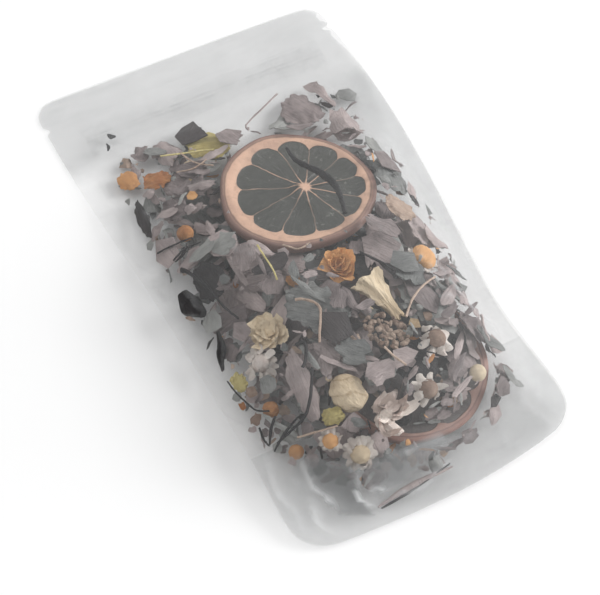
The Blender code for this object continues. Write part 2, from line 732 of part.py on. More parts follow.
# Flowers, buds and fruit that lie right under the film: name, maker, finish, place, turn and size
over = Seated()
over.add(front)
press_up("citrus_slice", citrus(10), PEEL, (0.085, 0.222), 20, over, under, pitch=SLICE_TILT)
FLOWERS = (
    ("rose_bud_cream", bud, CREAM_FLOWER, (-0.32, -0.582), 15, 0.95),
    ("rose_bud_apricot", bud, CREAM_FLOWER, (-0.53, -0.250), -20, 0.85),
    ("orange_blossom", bud, AMBER_FRUIT, (0.01, -0.152), 195, 0.85),
    ("camomile_right", daisy, WHITE_PETAL, (0.53, -0.228), 0, 1.0),
    ("camomile_left", daisy, WHITE_PETAL, (-0.64, -0.335), 30, 0.9),
    ("camomile_low", daisy, WHITE_PETAL, (-0.39, -0.765), 10, 0.9),
    ("camomile_low_left", daisy, WHITE_PETAL, (-0.52, -0.690), 50, 0.65),
    ("camomile_hip", daisy, WHITE_PETAL, (0.28, -0.545), 45, 1.0),
    ("camomile_brown", daisy, TAN_FLOWER, (0.10, -0.685), 12, 0.95),
    ("jasmine_flower", trumpet, WHITE_PETAL, (-0.17, -0.700), -75, 0.8),
    ("honeysuckle_flower", trumpet, TAN_FLOWER, (0.13, -0.326), 10, 0.9),
    ("tan_floret", daisy, TAN_FLOWER, (0.04, -0.451), 5, 0.8),
    ("yellow_berry", berry, AMBER_FRUIT, (0.45, -0.690), 0, 1.0),
    ("orange_berry", berry, AMBER_FRUIT, (-0.71, -0.489), 0, 1.0),
    ("orange_hip", berry, AMBER_FRUIT, (-0.69, -0.655), 0, 0.9),
    ("orange_bead", berry, AMBER_FRUIT, (-0.64, 0.235), 0, 1.0),
)
for name, make, finish, place, turn, share in FLOWERS:
    press_up(name, scaled(make(), share), finish, place, turn, over, under)

# Leaves and petals, as their name, finish, place, turn and size as a share of a full one
LEAVES = (
    ("leaf_sickle", BLACK_PETAL, (-0.80, 0.380), -8, 0.50),
    ("leaf_long_grey", GREY_PETAL, (-0.53, -0.490), -8, 0.85),
)
PETALS = (
    ("petal_yellow_left", YELLOW_PETAL, (-0.79, -0.350), 10, 0.24),
    ("petal_yellow_low", YELLOW_PETAL, (-0.46, -0.630), 80, 0.26),
    ("petal_yellow_top", YELLOW_PETAL, (-0.20, 0.565), 70, 0.55),
    ("petal_tan_right", TAN_FLOWER, (0.57, -0.022), 60, 0.44),
    ("petal_orange_far", AMBER_FRUIT, (-0.60, 0.505), 75, 0.34),
    ("petal_orange_left", AMBER_FRUIT, (-0.75, 0.553), 20, 0.30),
    ("petal_far_dark", BLACK_PETAL, (-0.21, 0.650), 20, 0.27),
    ("petal_black", BLACK_PETAL, (-0.69, 0.011), 5, 0.48),
    ("petal_top_right", GREY_PETAL, (0.45, 0.560), 20, 0.58),
    ("petal_upper_right", GREY_PETAL, (0.63, 0.395), -10, 0.66),
    ("petal_left_rear", GREY_PETAL, (-0.47, 0.435), 40, 0.55),
    ("petal_left_middle", GREY_PETAL, (-0.62, 0.348), 10, 0.38),
    ("petal_left_upper", GREEN_LEAF, (-0.49, 0.185), 30, 0.62),
    ("petal_left_lower", GREY_PETAL, (-0.27, 0.000), 65, 0.75),
    ("petal_left_grey", GREY_PETAL, (-0.56, -0.082), -25, 0.68),
    ("petal_right_upper", GREEN_LEAF, (0.68, 0.130), -20, 0.62),
    ("petal_right_middle", GREY_PETAL, (0.66, -0.109), 20, 0.50),
    ("petal_middle", GREEN_LEAF, (-0.24, -0.272), 50, 0.75),
    ("petal_middle_dark", BLACK_PETAL, (0.24, -0.196), 80, 0.62),
    ("petal_left_plum", GREY_PETAL, (-0.67, -0.420), -10, 0.42),
    ("petal_low_plum", GREY_PETAL, (-0.22, -0.457), 20, 0.62),
    ("petal_low_right", GREEN_LEAF, (0.41, -0.380), 10, 0.72),
    ("petal_right_plum", GREY_PETAL, (0.66, -0.370), -15, 0.50),
    ("petal_low_dark", BLACK_PETAL, (0.13, -0.576), 20, 0.62),
)
LOW_PETALS = (
    ("petal_right_edge", GREEN_LEAF, (0.62, -0.625), 25, 0.55),
    ("petal_bottom_left", GREY_PETAL, (-0.22, -0.826), 85, 0.55),
    ("petal_bottom_right", GREEN_LEAF, (0.26, -0.810), 110, 0.62),
)


def press_petals(pieces, length, width, cup, roundness):
    for name, finish, place, turn, share in pieces:
        shape = blade(share * length, share * width, share * cup, roundness, share * PETAL_RIPPLE)
        press_up(name, shape, finish, place, turn, over, under)


press_petals(LEAVES, LEAF_LENGTH, LEAF_WIDTH, LEAF_CUP, 0.8)
press_petals(PETALS, PETAL_LENGTH, PETAL_WIDTH, PETAL_CUP, 0.5)
press_up("leaf_stalk", stalk(STALK_LENGTH, STALK_BOW), BLACK_PETAL, (-0.39, -0.467), -12, over, under)
lower_slice = citrus(8, LOWER_CITRUS_RADIUS)
press_up("citrus_slice_lower", lower_slice, PEEL, (0.14, -0.530), 25, over, under, pitch=LOWER_SLICE_TILT)
press_petals(LOW_PETALS, PETAL_LENGTH, PETAL_WIDTH, PETAL_CUP, 0.5)

heap("petal_heap", over, under, GREY_PETAL)

# The outline leans a little to the left, so all pieces move over together until its box is centred
reach = [(front.matrix_world @ v.co).x for v in front.data.vertices]
aside = Matrix.Translation((-(min(reach) + max(reach)) / 2, 0, 0))
for made in bpy.data.objects:
    made.matrix_world = aside @ made.matrix_world
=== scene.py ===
"""A frosted stand-up zipper pouch lying on its back, filled with dried citrus, petals and flowers."""
import json
import math

import bpy
import numpy as np
from mathutils import Matrix, Vector, noise
from mathutils.bvhtree import BVHTree

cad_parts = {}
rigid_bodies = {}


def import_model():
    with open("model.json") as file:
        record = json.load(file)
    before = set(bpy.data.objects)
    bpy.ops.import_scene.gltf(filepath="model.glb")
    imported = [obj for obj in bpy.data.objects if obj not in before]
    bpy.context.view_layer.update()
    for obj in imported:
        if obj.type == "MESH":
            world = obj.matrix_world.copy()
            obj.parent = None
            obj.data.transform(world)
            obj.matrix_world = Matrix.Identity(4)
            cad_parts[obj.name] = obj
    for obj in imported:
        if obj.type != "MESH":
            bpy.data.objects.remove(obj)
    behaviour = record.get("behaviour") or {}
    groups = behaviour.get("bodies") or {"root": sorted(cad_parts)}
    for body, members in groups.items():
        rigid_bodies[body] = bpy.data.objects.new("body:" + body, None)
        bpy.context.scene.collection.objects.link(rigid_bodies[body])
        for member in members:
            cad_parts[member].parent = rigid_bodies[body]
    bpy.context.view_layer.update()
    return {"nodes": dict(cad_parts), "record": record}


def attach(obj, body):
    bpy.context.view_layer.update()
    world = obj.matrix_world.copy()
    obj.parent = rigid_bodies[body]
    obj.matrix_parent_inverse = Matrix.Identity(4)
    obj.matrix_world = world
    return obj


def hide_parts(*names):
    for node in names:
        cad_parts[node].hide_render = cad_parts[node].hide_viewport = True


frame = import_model()

# The picture. The pouch is seen from above its lower left side, through a long lens, with the camera turned
# a little on its own axis.
AZIMUTH, ELEVATION, ROLL = math.radians(-41.2), math.radians(61.9), math.radians(14.5)
DISTANCE, LENS = 0.556, 102.0
AIM = Vector((-0.0074, -0.0104, 0))

back = Vector((
    math.sin(AZIMUTH) * math.cos(ELEVATION), -math.cos(AZIMUTH) * math.cos(ELEVATION), math.sin(ELEVATION),
))
level = Vector((math.cos(AZIMUTH), math.sin(AZIMUTH), 0))
over = back.cross(level)
right = math.cos(ROLL) * level + math.sin(ROLL) * over
camera = bpy.data.objects.new("camera", bpy.data.cameras.new("camera"))
bpy.context.scene.collection.objects.link(camera)
camera.matrix_world = Matrix.Translation(AIM + back * DISTANCE) @ Matrix(
    (right, back.cross(right), back)
).transposed().to_4x4()
camera.data.lens, camera.data.sensor_width, camera.data.clip_start = LENS, 36, 0.01
bpy.context.scene.camera = camera


# The floor. A sheet of matt white paper that reaches past the view on all sides. It lies a hair below the
# pouch, which rests on it.
FLOOR_SIZE, FLOOR_DROP = 6.0, 0.0003


class Value:
    """A node's output that Python's own arithmetic adds Math nodes to."""

    def __init__(self, shader, socket):
        self.shader, self.socket = shader, socket

    def maths(self, operation, other=0, swapped=False):
        pair = (other, self) if swapped else (self, other)
        return self.shader.node("ShaderNodeMath", {"operation": operation}, {0: pair[0], 1: pair[1]})

    def __add__(self, other):
        return self.maths("ADD", other)

    def __sub__(self, other):
        return self.maths("SUBTRACT", other)

    def __rsub__(self, other):
        return self.maths("SUBTRACT", other, swapped=True)

    def __mul__(self, other):
        return self.maths("MULTIPLY", other)

    def __pow__(self, other):
        return self.maths("POWER", other)

    __radd__, __rmul__ = __add__, __mul__

    def step(self, start, end):
        """0 up to start and 1 from end, smooth between."""
        settings = {"interpolation_type": "SMOOTHSTEP"}
        return self.shader.node("ShaderNodeMapRange", settings, {0: self, 1: start, 2: end})


class Shader:
    """A material that is written node by node."""

    def __init__(self, name):
        self.material = bpy.data.materials.new(name)
        self.material.use_nodes = True
        self.tree = self.material.node_tree
        self.tree.nodes.clear()

    def node(self, kind, settings=None, inputs=None, out=0):
        made = self.tree.nodes.new(kind)
        for key, value in (settings or {}).items():
            setattr(made, key, value)
        for key, value in (inputs or {}).items():
            if isinstance(value, Value):
                self.tree.links.new(value.socket, made.inputs[key])
            else:
                made.inputs[key].default_value = value
        return Value(self, made.outputs[out]) if made.outputs else None

    def mix(self, share, first, second):
        """A mix of two colours."""
        first, second = ((*c, 1) if isinstance(c, tuple) else c for c in (first, second))
        return self.node("ShaderNodeMix", {"data_type": "RGBA"}, {0: share, 6: first, 7: second}, 2)

    def place(self):
        """Object coordinates."""
        return self.node("ShaderNodeTexCoord", out=3)

    def noise(self, where, scale, detail=3.0, roughness=0.55, distortion=0.0):
        return self.node("ShaderNodeTexNoise", {}, {
            "Vector": where, "Scale": scale, "Detail": detail, "Roughness": roughness,
            "Distortion": distortion,
        })

    def bump(self, height, distance, strength=1.0):
        return self.node("ShaderNodeBump", {}, {"Height": height, "Distance": distance, "Strength": strength})

    def principled(self, inputs):
        return self.node("ShaderNodeBsdfPrincipled", {}, inputs)

    def done(self, surface):
        self.node("ShaderNodeOutputMaterial", {}, {"Surface": surface})
        return self.material


def primitive(add, **settings):
    """A new primitive, with nothing else selected."""
    bpy.ops.object.select_all(action="DESELECT")
    add(**settings)
    return bpy.context.object


floor = primitive(bpy.ops.mesh.primitive_plane_add, size=FLOOR_SIZE, location=(0, 0, -FLOOR_DROP))
floor.name = "floor"
paper = Shader("white_floor")
paper_white = paper.principled({"Base Color": (0.95, 0.95, 0.95, 1), "Roughness": 0.9})
floor.data.materials.append(paper.done(paper_white))


# The light. Two soft lamps on the pouch's right, one of them low, which throw its shadow to the left, a wide
# pale lamp overhead, and an even white sky. Each lamp: its name, place, size and power.
LAMPS = (
    ("key", (2.7, -0.30, 1.65), 1.3, 68.0),
    ("low", (2.6, -0.9, 0.70), 1.2, 30.0),
    ("fill", (-1.2, 1.4, 3.0), 3.2, 42.0),
)
SKY_STRENGTH = 0.45
for name, place, size, power in LAMPS:
    lamp = bpy.data.objects.new(name, bpy.data.lights.new(name, "AREA"))
    bpy.context.scene.collection.objects.link(lamp)
    lamp.matrix_world = Matrix.Translation(place) @ Vector(place).to_track_quat("Z", "Y").to_matrix().to_4x4()
    lamp.data.size, lamp.data.energy = size, power
world = bpy.data.worlds.new("sky")
world.use_nodes = True
sky = world.node_tree.nodes["Background"].inputs
sky["Color"].default_value, sky["Strength"].default_value = (1, 1, 1, 1), SKY_STRENGTH
bpy.context.scene.world = world
bpy.context.scene.view_settings.view_transform = "Standard"


# The film. Three webs of frosted polythene with a faint paper-like grain, heat-sealed round the edge. They
# are flat in the seals, creased at the corners, pushed out by the filling, and clearer where they touch it.
# The front web carries a painted highlight along one flank of each crease, and painted shade and a painted
# highlight on the folds at the bottom. The front and back webs carry painted shade along the right margin and
# painted light along the left one.
# The film's own colour lies halfway between these two. The darker end is painted shade, the paler end a
# painted highlight.
FILM_PAINTED_SHADE, FILM_PAINTED_HIGHLIGHT = (0.20, 0.205, 0.205), (0.74, 0.75, 0.755)
FILM_VEIL, FREE_VEIL, GUSSET_VEIL = 0.072, 0.030, -0.03
PUFF, LUMPS = 0.0013, 0.0012
SHARP_ANGLE = math.radians(50)
# Each crease: its two ends, its height and its width in mm, and the strength of its painted highlight, paler
# and cloudier film along one flank.
CREASES = (
    (-41, -61, -34, -83, 1.3, 3.0, 0.24), (-39, -63, -42, -74, 0.8, 2.4, 0.1),
    (-42, -73, -39, -90, 1.0, 3.0, 0.14), (-26, -73, -24, -88, 1.2, 2.2, 0.34),
    (-25, -74, -18, -85, 1.0, 2.2, 0.4), (-22, -86, 8, -84, 0.9, 1.8, 0.24),
    (-20, -76, 12, -78, 0.9, 2.4, 0.12), (-48, -50, -47, -84, 1.0, 3.2, 0.12),
    (10, -76, -4, -84, 0.6, 2.0, 0.12), (16, -76, 9, -86, 0.6, 2.6, 0.07),
    (36, -66, 41, -87, 0.8, 3.0, 0.06), (24, -78, 29, -89, 0.6, 2.6, 0.05),
    (-44, 3, -46, -16, 0.9, 2.6, 0.1), (-47, 13, -52, 5, 0.7, 2.6, 0.07),
    (-50, -8, -47, -34, 0.8, 2.8, 0.07), (-53, -24, -48, -50, 0.7, 2.4, 0.05),
    (30, -30, 40, -56, 0.9, 2.2, 0.24), (22, -40, 42, -35, 0.5, 1.4, 0.14),
    (24, -22, 33, -31, 0.6, 1.6, 0.2), (-31, 9, -17, -5, 0.5, 1.4, 0.1),
    (-44, 40, -38, 24, 0.5, 1.4, 0.1), (30, 22, 40, 10, 0.5, 1.4, 0.12),
    (-40, -24, -31, -40, 0.6, 1.6, 0.12), (-6, -58, 8, -66, 0.5, 1.4, 0.08),
    (8, -3, 20, -12, 0.4, 1.3, 0.1), (50, -8, 46, -36, 0.7, 2.6, 0.05), (52, 24, 47, 0, 0.6, 2.4, 0.05),
    (-54, 30, -49, 10, 0.6, 2.6, 0.04), (-46, 68, -20, 66, 0.5, 2.6, 0.03),
    (-26, 72, 12, 69, 0.4, 2.0, 0.03), (8, 64, 44, 66, 0.5, 2.4, 0.03),
    (-40, 76, -10, 78, 0.3, 2.0, 0.02), (-52, 60, -44, 36, 0.6, 2.6, 0.04),
    (-34, 62, -8, 58, 0.6, 2.4, 0.04),
)
# Where the bottom is folded over on itself: corners in mm, how much that adds to the veil, partly for the
# extra layers of film and partly as painted shade, and its paleness, where below 0.5 is painted shade and
# above it a painted highlight.
FOLDS = (
    (((-37, -64), (-26, -73), (-24, -87), (-33, -83), (-37, -73)), 0.36, 0.15),
    (((-20, -75), (-8, -76), (12, -77), (7, -83), (-12, -83), (-20, -85)), 0.30, 0.34),
    (((-47, -56), (-41, -62), (-36, -80), (-41, -88), (-49, -80)), 0.05, 0.8),
    (((-52, 11), (-46, 14), (-43, 7), (-46, 1), (-50, 3)), 0.07, 0.35),
)


def pick(piece):
    """Selects one piece and nothing else."""
    bpy.ops.object.select_all(action="DESELECT")
    piece.select_set(True)
    bpy.context.view_layer.objects.active = piece


def added(name, data):
    """A new object in the scene, selected."""
    piece = bpy.data.objects.new(name, data)
    bpy.context.scene.collection.objects.link(piece)
    pick(piece)
    return piece


def take(name, node):
    """A piece that starts as a copy of a CAD node, with its loose triangles merged and paired."""
    piece = added(name, frame["nodes"][node].data.copy())
    piece.data.materials.clear()
    bpy.ops.object.mode_set(mode="EDIT")
    bpy.ops.mesh.select_all(action="SELECT")
    bpy.ops.mesh.remove_doubles(threshold=1e-6)
    bpy.ops.mesh.tris_convert_to_quads(face_threshold=math.pi, shape_threshold=math.pi)
    bpy.ops.mesh.customdata_custom_splitnormals_clear()
    bpy.ops.mesh.mark_sharp(clear=True)
    bpy.ops.object.mode_set(mode="OBJECT")
    return piece


def modify(piece, kind, **settings):
    """Adds a modifier and applies it."""
    pick(piece)
    modifier = piece.modifiers.new(kind.lower(), kind)
    for key, value in settings.items():
        setattr(modifier, key, value)
    bpy.ops.object.modifier_apply(modifier=modifier.name)


def corners(piece):
    """A piece's points as an array."""
    points = np.empty(len(piece.data.vertices) * 3)
    piece.data.vertices.foreach_get("co", points)
    return points.reshape(-1, 3)


def move(piece, points):
    """Puts a piece's points in new places."""
    piece.data.vertices.foreach_set("co", points.ravel())
    piece.data.update()


def hand_over(piece, material, nodes=()):
    """Gives a piece its material, and hands it to the frame."""
    piece.data.materials.clear()
    piece.data.materials.append(material)
    piece.data.shade_smooth()
    piece.data.set_sharp_from_angle(angle=SHARP_ANGLE)
    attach(piece, "root")
    if nodes:
        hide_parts(*nodes)


def smooth(start, end, value):
    """0 at start and 1 at end, with soft ends."""
    t = np.clip((value - start) / (end - start), 0, 1)
    return t * t * (3 - 2 * t)


def turns_left(fold):
    """Whether a fold's corners run anticlockwise."""
    return sum(ax * by - bx * ay for (ax, ay), (bx, by) in zip(fold, fold[1:] + fold[:1])) > 0


def creased(x, y):
    """How far the creases lift the film, how much veil they and the folds add, and how pale it is there. The
    veil
    and paleness are painted light: a painted highlight on one flank of each crease, and painted shade and a
    painted highlight on the folds, which also add veil for their extra layers of film.
    """
    lift, veil, pale = np.zeros_like(x), np.zeros_like(x), np.full_like(x, 0.5)
    for *ends, height, width, haze_and_painted_light in CREASES:
        ax, ay, bx, by, width = (v / 1000 for v in (*ends, width))
        along_x, along_y = bx - ax, by - ay
        length = math.hypot(along_x, along_y)
        share = ((x - ax) * along_x + (y - ay) * along_y) / length**2
        off = ((x - ax) * along_y - (y - ay) * along_x) / length + 0.0012 * np.sin(9 * share)
        body = np.sin(np.pi * np.clip(share, 0, 1)) ** 0.6
        ridge = body * np.clip(1 - np.abs(off) / width, 0, 1)
        lift = np.maximum(lift, height / 1000 * ridge**1.2)
        # Painted highlight: the flank on one side of the crease is made cloudier and paler.
        lit = haze_and_painted_light * ridge**1.6 * (off * along_y > 0)
        veil = np.maximum(veil, lit)
        pale = np.maximum(pale, 0.5 + 4 * lit)
    for fold, haze_and_painted_light, paleness_and_painted_light in FOLDS:
        within = np.full_like(x, 1.0)
        for (ax, ay), (bx, by) in zip(fold, fold[1:] + fold[:1]):
            length = math.hypot(bx - ax, by - ay)
            off = ((x * 1000 - ax) * (by - ay) - (y * 1000 - ay) * (bx - ax)) / length
            within = np.minimum(within, smooth(-0.6, 0.6, -off if turns_left(fold) else off))
        # Painted shade and highlight: each fold's patch is made cloudier and set to its paleness. The darker
        # folds are painted shade, the paler one a painted highlight.
        veil = veil + haze_and_painted_light * within
        pale = pale + (paleness_and_painted_light - 0.5) * within
    return lift, veil, np.clip(pale, 0, 1)


def rough(points, size, seed=0.0):
    """Gentle unevenness between -1 and 1, one value for each point."""
    return np.array([
        noise.noise(Vector((p[0] / size + seed, p[1] / size, p[2] / size + seed))) for p in points
    ])


film = Shader("frosted_film")
where = film.place()
# The veil and paleness attributes carry painted light: painted highlights on the creases, painted shade and a
# highlight on the folds, and painted shade and light along the margins.
veil = film.node("ShaderNodeAttribute", {"attribute_name": "veil"}, out=2)
pale = film.node("ShaderNodeAttribute", {"attribute_name": "pale"}, out=2)
fibres = film.noise(film.node("ShaderNodeMapping", {}, {0: where, 3: (0.25, 1.0, 1.0)}), 420, 4, 0.65)
cloud = film.noise(where, 38, 4)
streaks = film.noise(film.node("ShaderNodeMapping", {}, {0: where, 3: (0.22, 1.0, 1.0)}), 150, 3)
grain = film.noise(where, 1500, 2)
film_material = film.done(film.principled({
    "Base Color": film.mix(pale, FILM_PAINTED_SHADE, FILM_PAINTED_HIGHLIGHT), "Roughness": 0.45, "IOR": 1.45,
    "Alpha": FILM_VEIL * (0.50 + 0.35 * fibres + 0.55 * cloud + 0.22 * streaks.step(0.52, 0.75))
    + veil * (0.8 + 0.4 * cloud),
    "Normal": film.bump(0.5 * grain + fibres + 3 * cloud, 0.0002, 0.35),
}))

webs = {}
for side, node in (("front", "front_panel"), ("back", "back_panel"), ("gusset", "bottom_gusset")):
    name = "film_" + side
    piece = take(name, node)
    modify(piece, "SUBSURF", levels=2, render_levels=2)
    points = corners(piece)
    x, y = points[:, 0], points[:, 1]
    lift, added_veil_and_painted_light, paleness_and_painted_light = creased(x, y)
    filled = smooth(0.070, 0.050, y) * smooth(-0.084, -0.070, y) * smooth(0.050, 0.040, np.abs(x))
    if node == "front_panel":
        flat = points * (1, 1, 0)
        lumps = 0.5 + 0.35 * rough(flat, 0.012) + 0.25 * rough(flat, 0.005, 7.0)
        points[:, 2] += lift + filled * (PUFF + LUMPS * np.clip(lumps, 0, 1))
    else:
        added_veil_and_painted_light, paleness_and_painted_light = added_veil_and_painted_light * 0, paleness_and_painted_light * 0 + 0.5
    # Below the zipper the veil is painted thicker along the right margin and thinner along the left one:
    # painted shade where the lamps light the film, and painted light where the filling shades it.
    painted_light_sideways = (40 * x - 0.2) * smooth(0.066, 0.056, y) * (0.5 + 0.5 * smooth(-0.070, -0.050, y))
    added_veil_and_painted_light += GUSSET_VEIL if node == "bottom_gusset" else FREE_VEIL * (1 - filled) * (1 + painted_light_sideways)
    move(piece, points)
    for key, values in (("veil", added_veil_and_painted_light), ("pale", paleness_and_painted_light)):
        piece.data.attributes.new(key, "FLOAT", "POINT").data.foreach_set("value", values)
    hand_over(piece, film_material, [node])
    webs[name] = piece


# The zipper. Two extruded strips of clear polythene, a rib that snaps into a groove, welded inside the panels
# below the header. They stay as the CAD model has them, and show through the film as faint lines.
zipper = Shader("zipper_polythene")
zipper_material = zipper.done(zipper.principled({
    "Base Color": (0.60, 0.605, 0.61, 1), "Roughness": 0.35,
    "Alpha": 0.045 * zipper.noise(zipper.place(), 140, 3).step(0.4, 0.8) + 0.008,
}))
for node in ("zipper_groove_track", "zipper_rib_track"):
    frame["nodes"][node].data.materials.clear()
    frame["nodes"][node].data.materials.append(zipper_material)


# The larger petals and leaves. Rose and hibiscus petals dry thin, cupped and dull, mauve grey to nearly
# black, with fine veins and torn, curled edges. DRIED has each kind's darkest and lightest colour.
PETAL_FOLD = 0.0018
DRIED = {
    "grey_petal": ((0.16, 0.130, 0.128), (0.56, 0.465, 0.45)),
    "grey_green_leaf": ((0.125, 0.13, 0.127), (0.43, 0.43, 0.41)),
    "black_petal": ((0.004, 0.003, 0.004), (0.06, 0.048, 0.048)),
    "tan_flower": ((0.24, 0.15, 0.105), (0.68, 0.52, 0.41)),
    "amber_fruit": ((0.36, 0.11, 0.025), (0.86, 0.46, 0.18)),
    "yellow_petal": ((0.42, 0.33, 0.10), (0.84, 0.74, 0.34)),
    "cream_flower": ((0.42, 0.29, 0.16), (0.92, 0.76, 0.54)),
    "white_petal": ((0.46, 0.32, 0.27), (0.98, 0.90, 0.83)),
}


def dried_material(name, dark, light):
    """Mottled, veined and dull. tone is a value of each piece."""
    shader = Shader(name)
    where = shader.place()
    tone = shader.node("ShaderNodeAttribute", {"attribute_name": "tone"}, out=2)
    uv = shader.node("ShaderNodeUVMap", {"uv_map": "petal"})
    veins = shader.noise(shader.node("ShaderNodeMapping", {}, {0: uv, 3: (26.0, 2.2, 1.0)}), 1.0, 3, 0.6, 0.8)
    mottle = shader.noise(where, 330, 4, 0.65)
    patches = shader.noise(where, 110, 2)
    share = 0.45 * veins + 0.5 * mottle + 0.4 * patches + 0.65 * tone - 0.55
    return shader.done(shader.principled({
        "Base Color": shader.mix(share.step(0.0, 0.95), dark, light), "Roughness": 0.5 + 0.3 * mottle,
        "Normal": shader.bump(veins + 0.8 * mottle, 0.0009, 0.8),
    }))


dried = {slot: dried_material("dried_" + slot, *shades) for slot, shades in DRIED.items()}


def axes_of(points):
    """The middle of some points, their middle, long and short directions, and half their reach along each.
    The short direction points up."""
    middle = points.mean(axis=0)
    _, _, (along, across, thin) = np.linalg.svd(points - middle, full_matrices=False)
    thin = thin * (1 if thin[2] > 0 else -1)
    across = np.cross(thin, along)
    turn = np.stack((across, along, thin), axis=1)
    local = (points - middle) @ turn
    centre = (local.max(axis=0) + local.min(axis=0)) / 2
    return middle + turn @ centre, turn, (local.max(axis=0) - local.min(axis=0)) / 2


def node_axes(node):
    return axes_of(corners(frame["nodes"][node]))


def lay_uv(piece, flat, name="petal"):
    """A UV map from a place for each point."""
    layer = piece.data.uv_layers.new(name=name)
    index = np.empty(len(piece.data.loops), dtype=int)
    piece.data.loops.foreach_get("vertex_index", index)
    layer.data.foreach_set("uv", flat[index].ravel())


def set_tone(piece, values):
    """How light each point is."""
    layer = piece.data.attributes.new("tone", "FLOAT", "POINT")
    layer.data.foreach_set("value", values)


slots = {part["node"]: part["material_slot"] for part in frame["record"]["subparts"]}
rng = np.random.default_rng(5)
laid = []
for node, slot in sorted(slots.items()):
    if not node.startswith(("petal_", "leaf_", "back_petal")) or node in ("petal_heap", "leaf_stalk"):
        continue
    piece = take("dried_" + node, node)
    modify(piece, "SUBSURF", levels=2, render_levels=2)
    points = corners(piece)
    middle, turn, reach = axes_of(points)
    local = (points - middle) @ turn
    v, u = local[:, 0] / reach[0], local[:, 1] / reach[1]
    flat, seed = np.stack((u, v, 0 * u), axis=1), rng.uniform(0, 50)
    rag = rough(flat, 0.35, seed) + 0.5 * rough(flat, 0.12, seed)
    edge = np.clip(u**2 + v**2, 0, 1)
    local[:, 0] *= 1 + 0.30 * rag * edge
    local[:, 1] *= 1 + 0.18 * rag * edge
    fold = np.abs(rough(flat, 0.5, seed + 9))
    points = middle + local @ turn.T
    points[:, 2] -= PETAL_FOLD * fold * (0.3 + edge) * smooth(0.0015, 0.006, points[:, 2])
    move(piece, points)
    lay_uv(piece, np.stack((v, u), axis=1) / 2 + 0.5)
    set_tone(piece, np.full(len(points), rng.uniform(0.1, 0.7)))
    hand_over(piece, dried[slot], [node])
    if not node.startswith("back_"):
        laid.append(piece)


# The citrus slices. Thin round cuts through dried fruit: a peach-coloured rind and pith, and wedges of dark
# flesh between pale membranes that meet at the core. Each slice: its name, CAD node, radius, wedges, core's
# place, flesh's reach, and the colours of its peel, dark flesh, light flesh and pith.
SLICES = (
    ("citrus_upper", "citrus_slice", 0.0261, 11, (0.10, -0.02), 0.825,
     (0.27, 0.16, 0.13), (0.065, 0.066, 0.059), (0.22, 0.222, 0.20), (0.78, 0.50, 0.36)),
    ("citrus_lower", "citrus_slice_lower", 0.0270, 9, (0.0, 0.0), 0.90,
     (0.38, 0.21, 0.17), (0.12, 0.105, 0.10), (0.27, 0.24, 0.23), (0.46, 0.29, 0.24)),
)
RINGS, SLICE_THICK, PEEL_ROUND, FLESH_SUNK, LOWER_TILT = 15, 0.0036, 0.0007, 0.0014, 0.0018


def slice_material(name, segments, core, flesh_reach, peel, flesh_dark, flesh_light, pith):
    """Wedges of flesh inside a scalloped ring of pith. The core stands a little off the middle."""
    shader = Shader(name)
    uv = shader.node("ShaderNodeUVMap", {"uv_map": "slice"})
    x = shader.node("ShaderNodeSeparateXYZ", {}, {0: uv}, 0) * 2 - 1
    y = shader.node("ShaderNodeSeparateXYZ", {}, {0: uv}, 1) * 2 - 1
    wobble = shader.noise(uv, 6, 3) - 0.5
    cx, cy = x - core[0], y - core[1]
    angle = cy.maths("ARCTAN2", cx) + 0.16 * wobble
    out = (x * x + y * y) ** 0.5 + 0.03 * wobble
    from_core = (cx * cx + cy * cy) ** 0.5
    turns = angle * (segments / (2 * math.pi)) + 0.3
    within = ((turns.maths("FRACT") - 0.5) * 2).maths("ABSOLUTE")
    wall = (1 - within) * from_core * (math.pi / segments)
    seen = shader.noise(uv, 3.4, 3).step(0.44, 0.66) + 0.8 * (0.30 - from_core).step(0, 0.2)
    membrane = 1 - (1 - wall.step(0.003, 0.013)) * (0.22 + 0.7 * seen.maths("MINIMUM", 1))
    flesh_out = ((x - 0.45 * core[0]) * (x - 0.45 * core[0]) + y * y) ** 0.5
    reach = flesh_reach - 0.09 * within**4 + 0.04 * wobble
    inside = (reach - flesh_out).step(-0.004, 0.012)
    middle = from_core.step(0.05, 0.10 + 0.06 * wobble)
    flesh = membrane * inside * middle
    outward = shader.node("ShaderNodeCombineXYZ", {}, {0: angle * 14, 1: from_core * 4})
    cells = shader.noise(outward, 1.6, 4, 0.6)
    scuffs = shader.noise(uv, 15, 5, 0.7, 1.2).step(0.58, 0.72)
    flesh_colour = shader.mix((0.6 * cells + 0.55 * scuffs).step(0.2, 0.9), flesh_dark, flesh_light)
    browned = tuple(0.3 * a + 0.7 * b for a, b in zip(pith, peel))
    ring = shader.mix(shader.noise(uv, 2.6, 3, 0.6).step(0.42, 0.68) * 0.6, pith, browned)
    ring = shader.mix((out + 0.09 * wobble).step(0.90, 0.975), ring, peel)
    ring = shader.mix(shader.noise(uv, 18, 5, 0.7).step(0.45, 0.8) * 0.5, ring, peel)
    seam = (out - 0.935 + 0.03 * wobble).maths("ABSOLUTE").step(0.018, 0.004)
    ring = shader.mix(0.55 * seam, ring, tuple(0.45 * c for c in peel))
    height = 0.9 * (1 - flesh) + 0.3 * cells * flesh + 0.25 * shader.noise(uv, 50, 4)
    return shader.done(shader.principled({
        "Base Color": shader.mix(flesh, ring, flesh_colour), "Roughness": 0.6 - 0.15 * flesh,
        "Normal": shader.bump(height, 0.0006, 0.8),
    }))


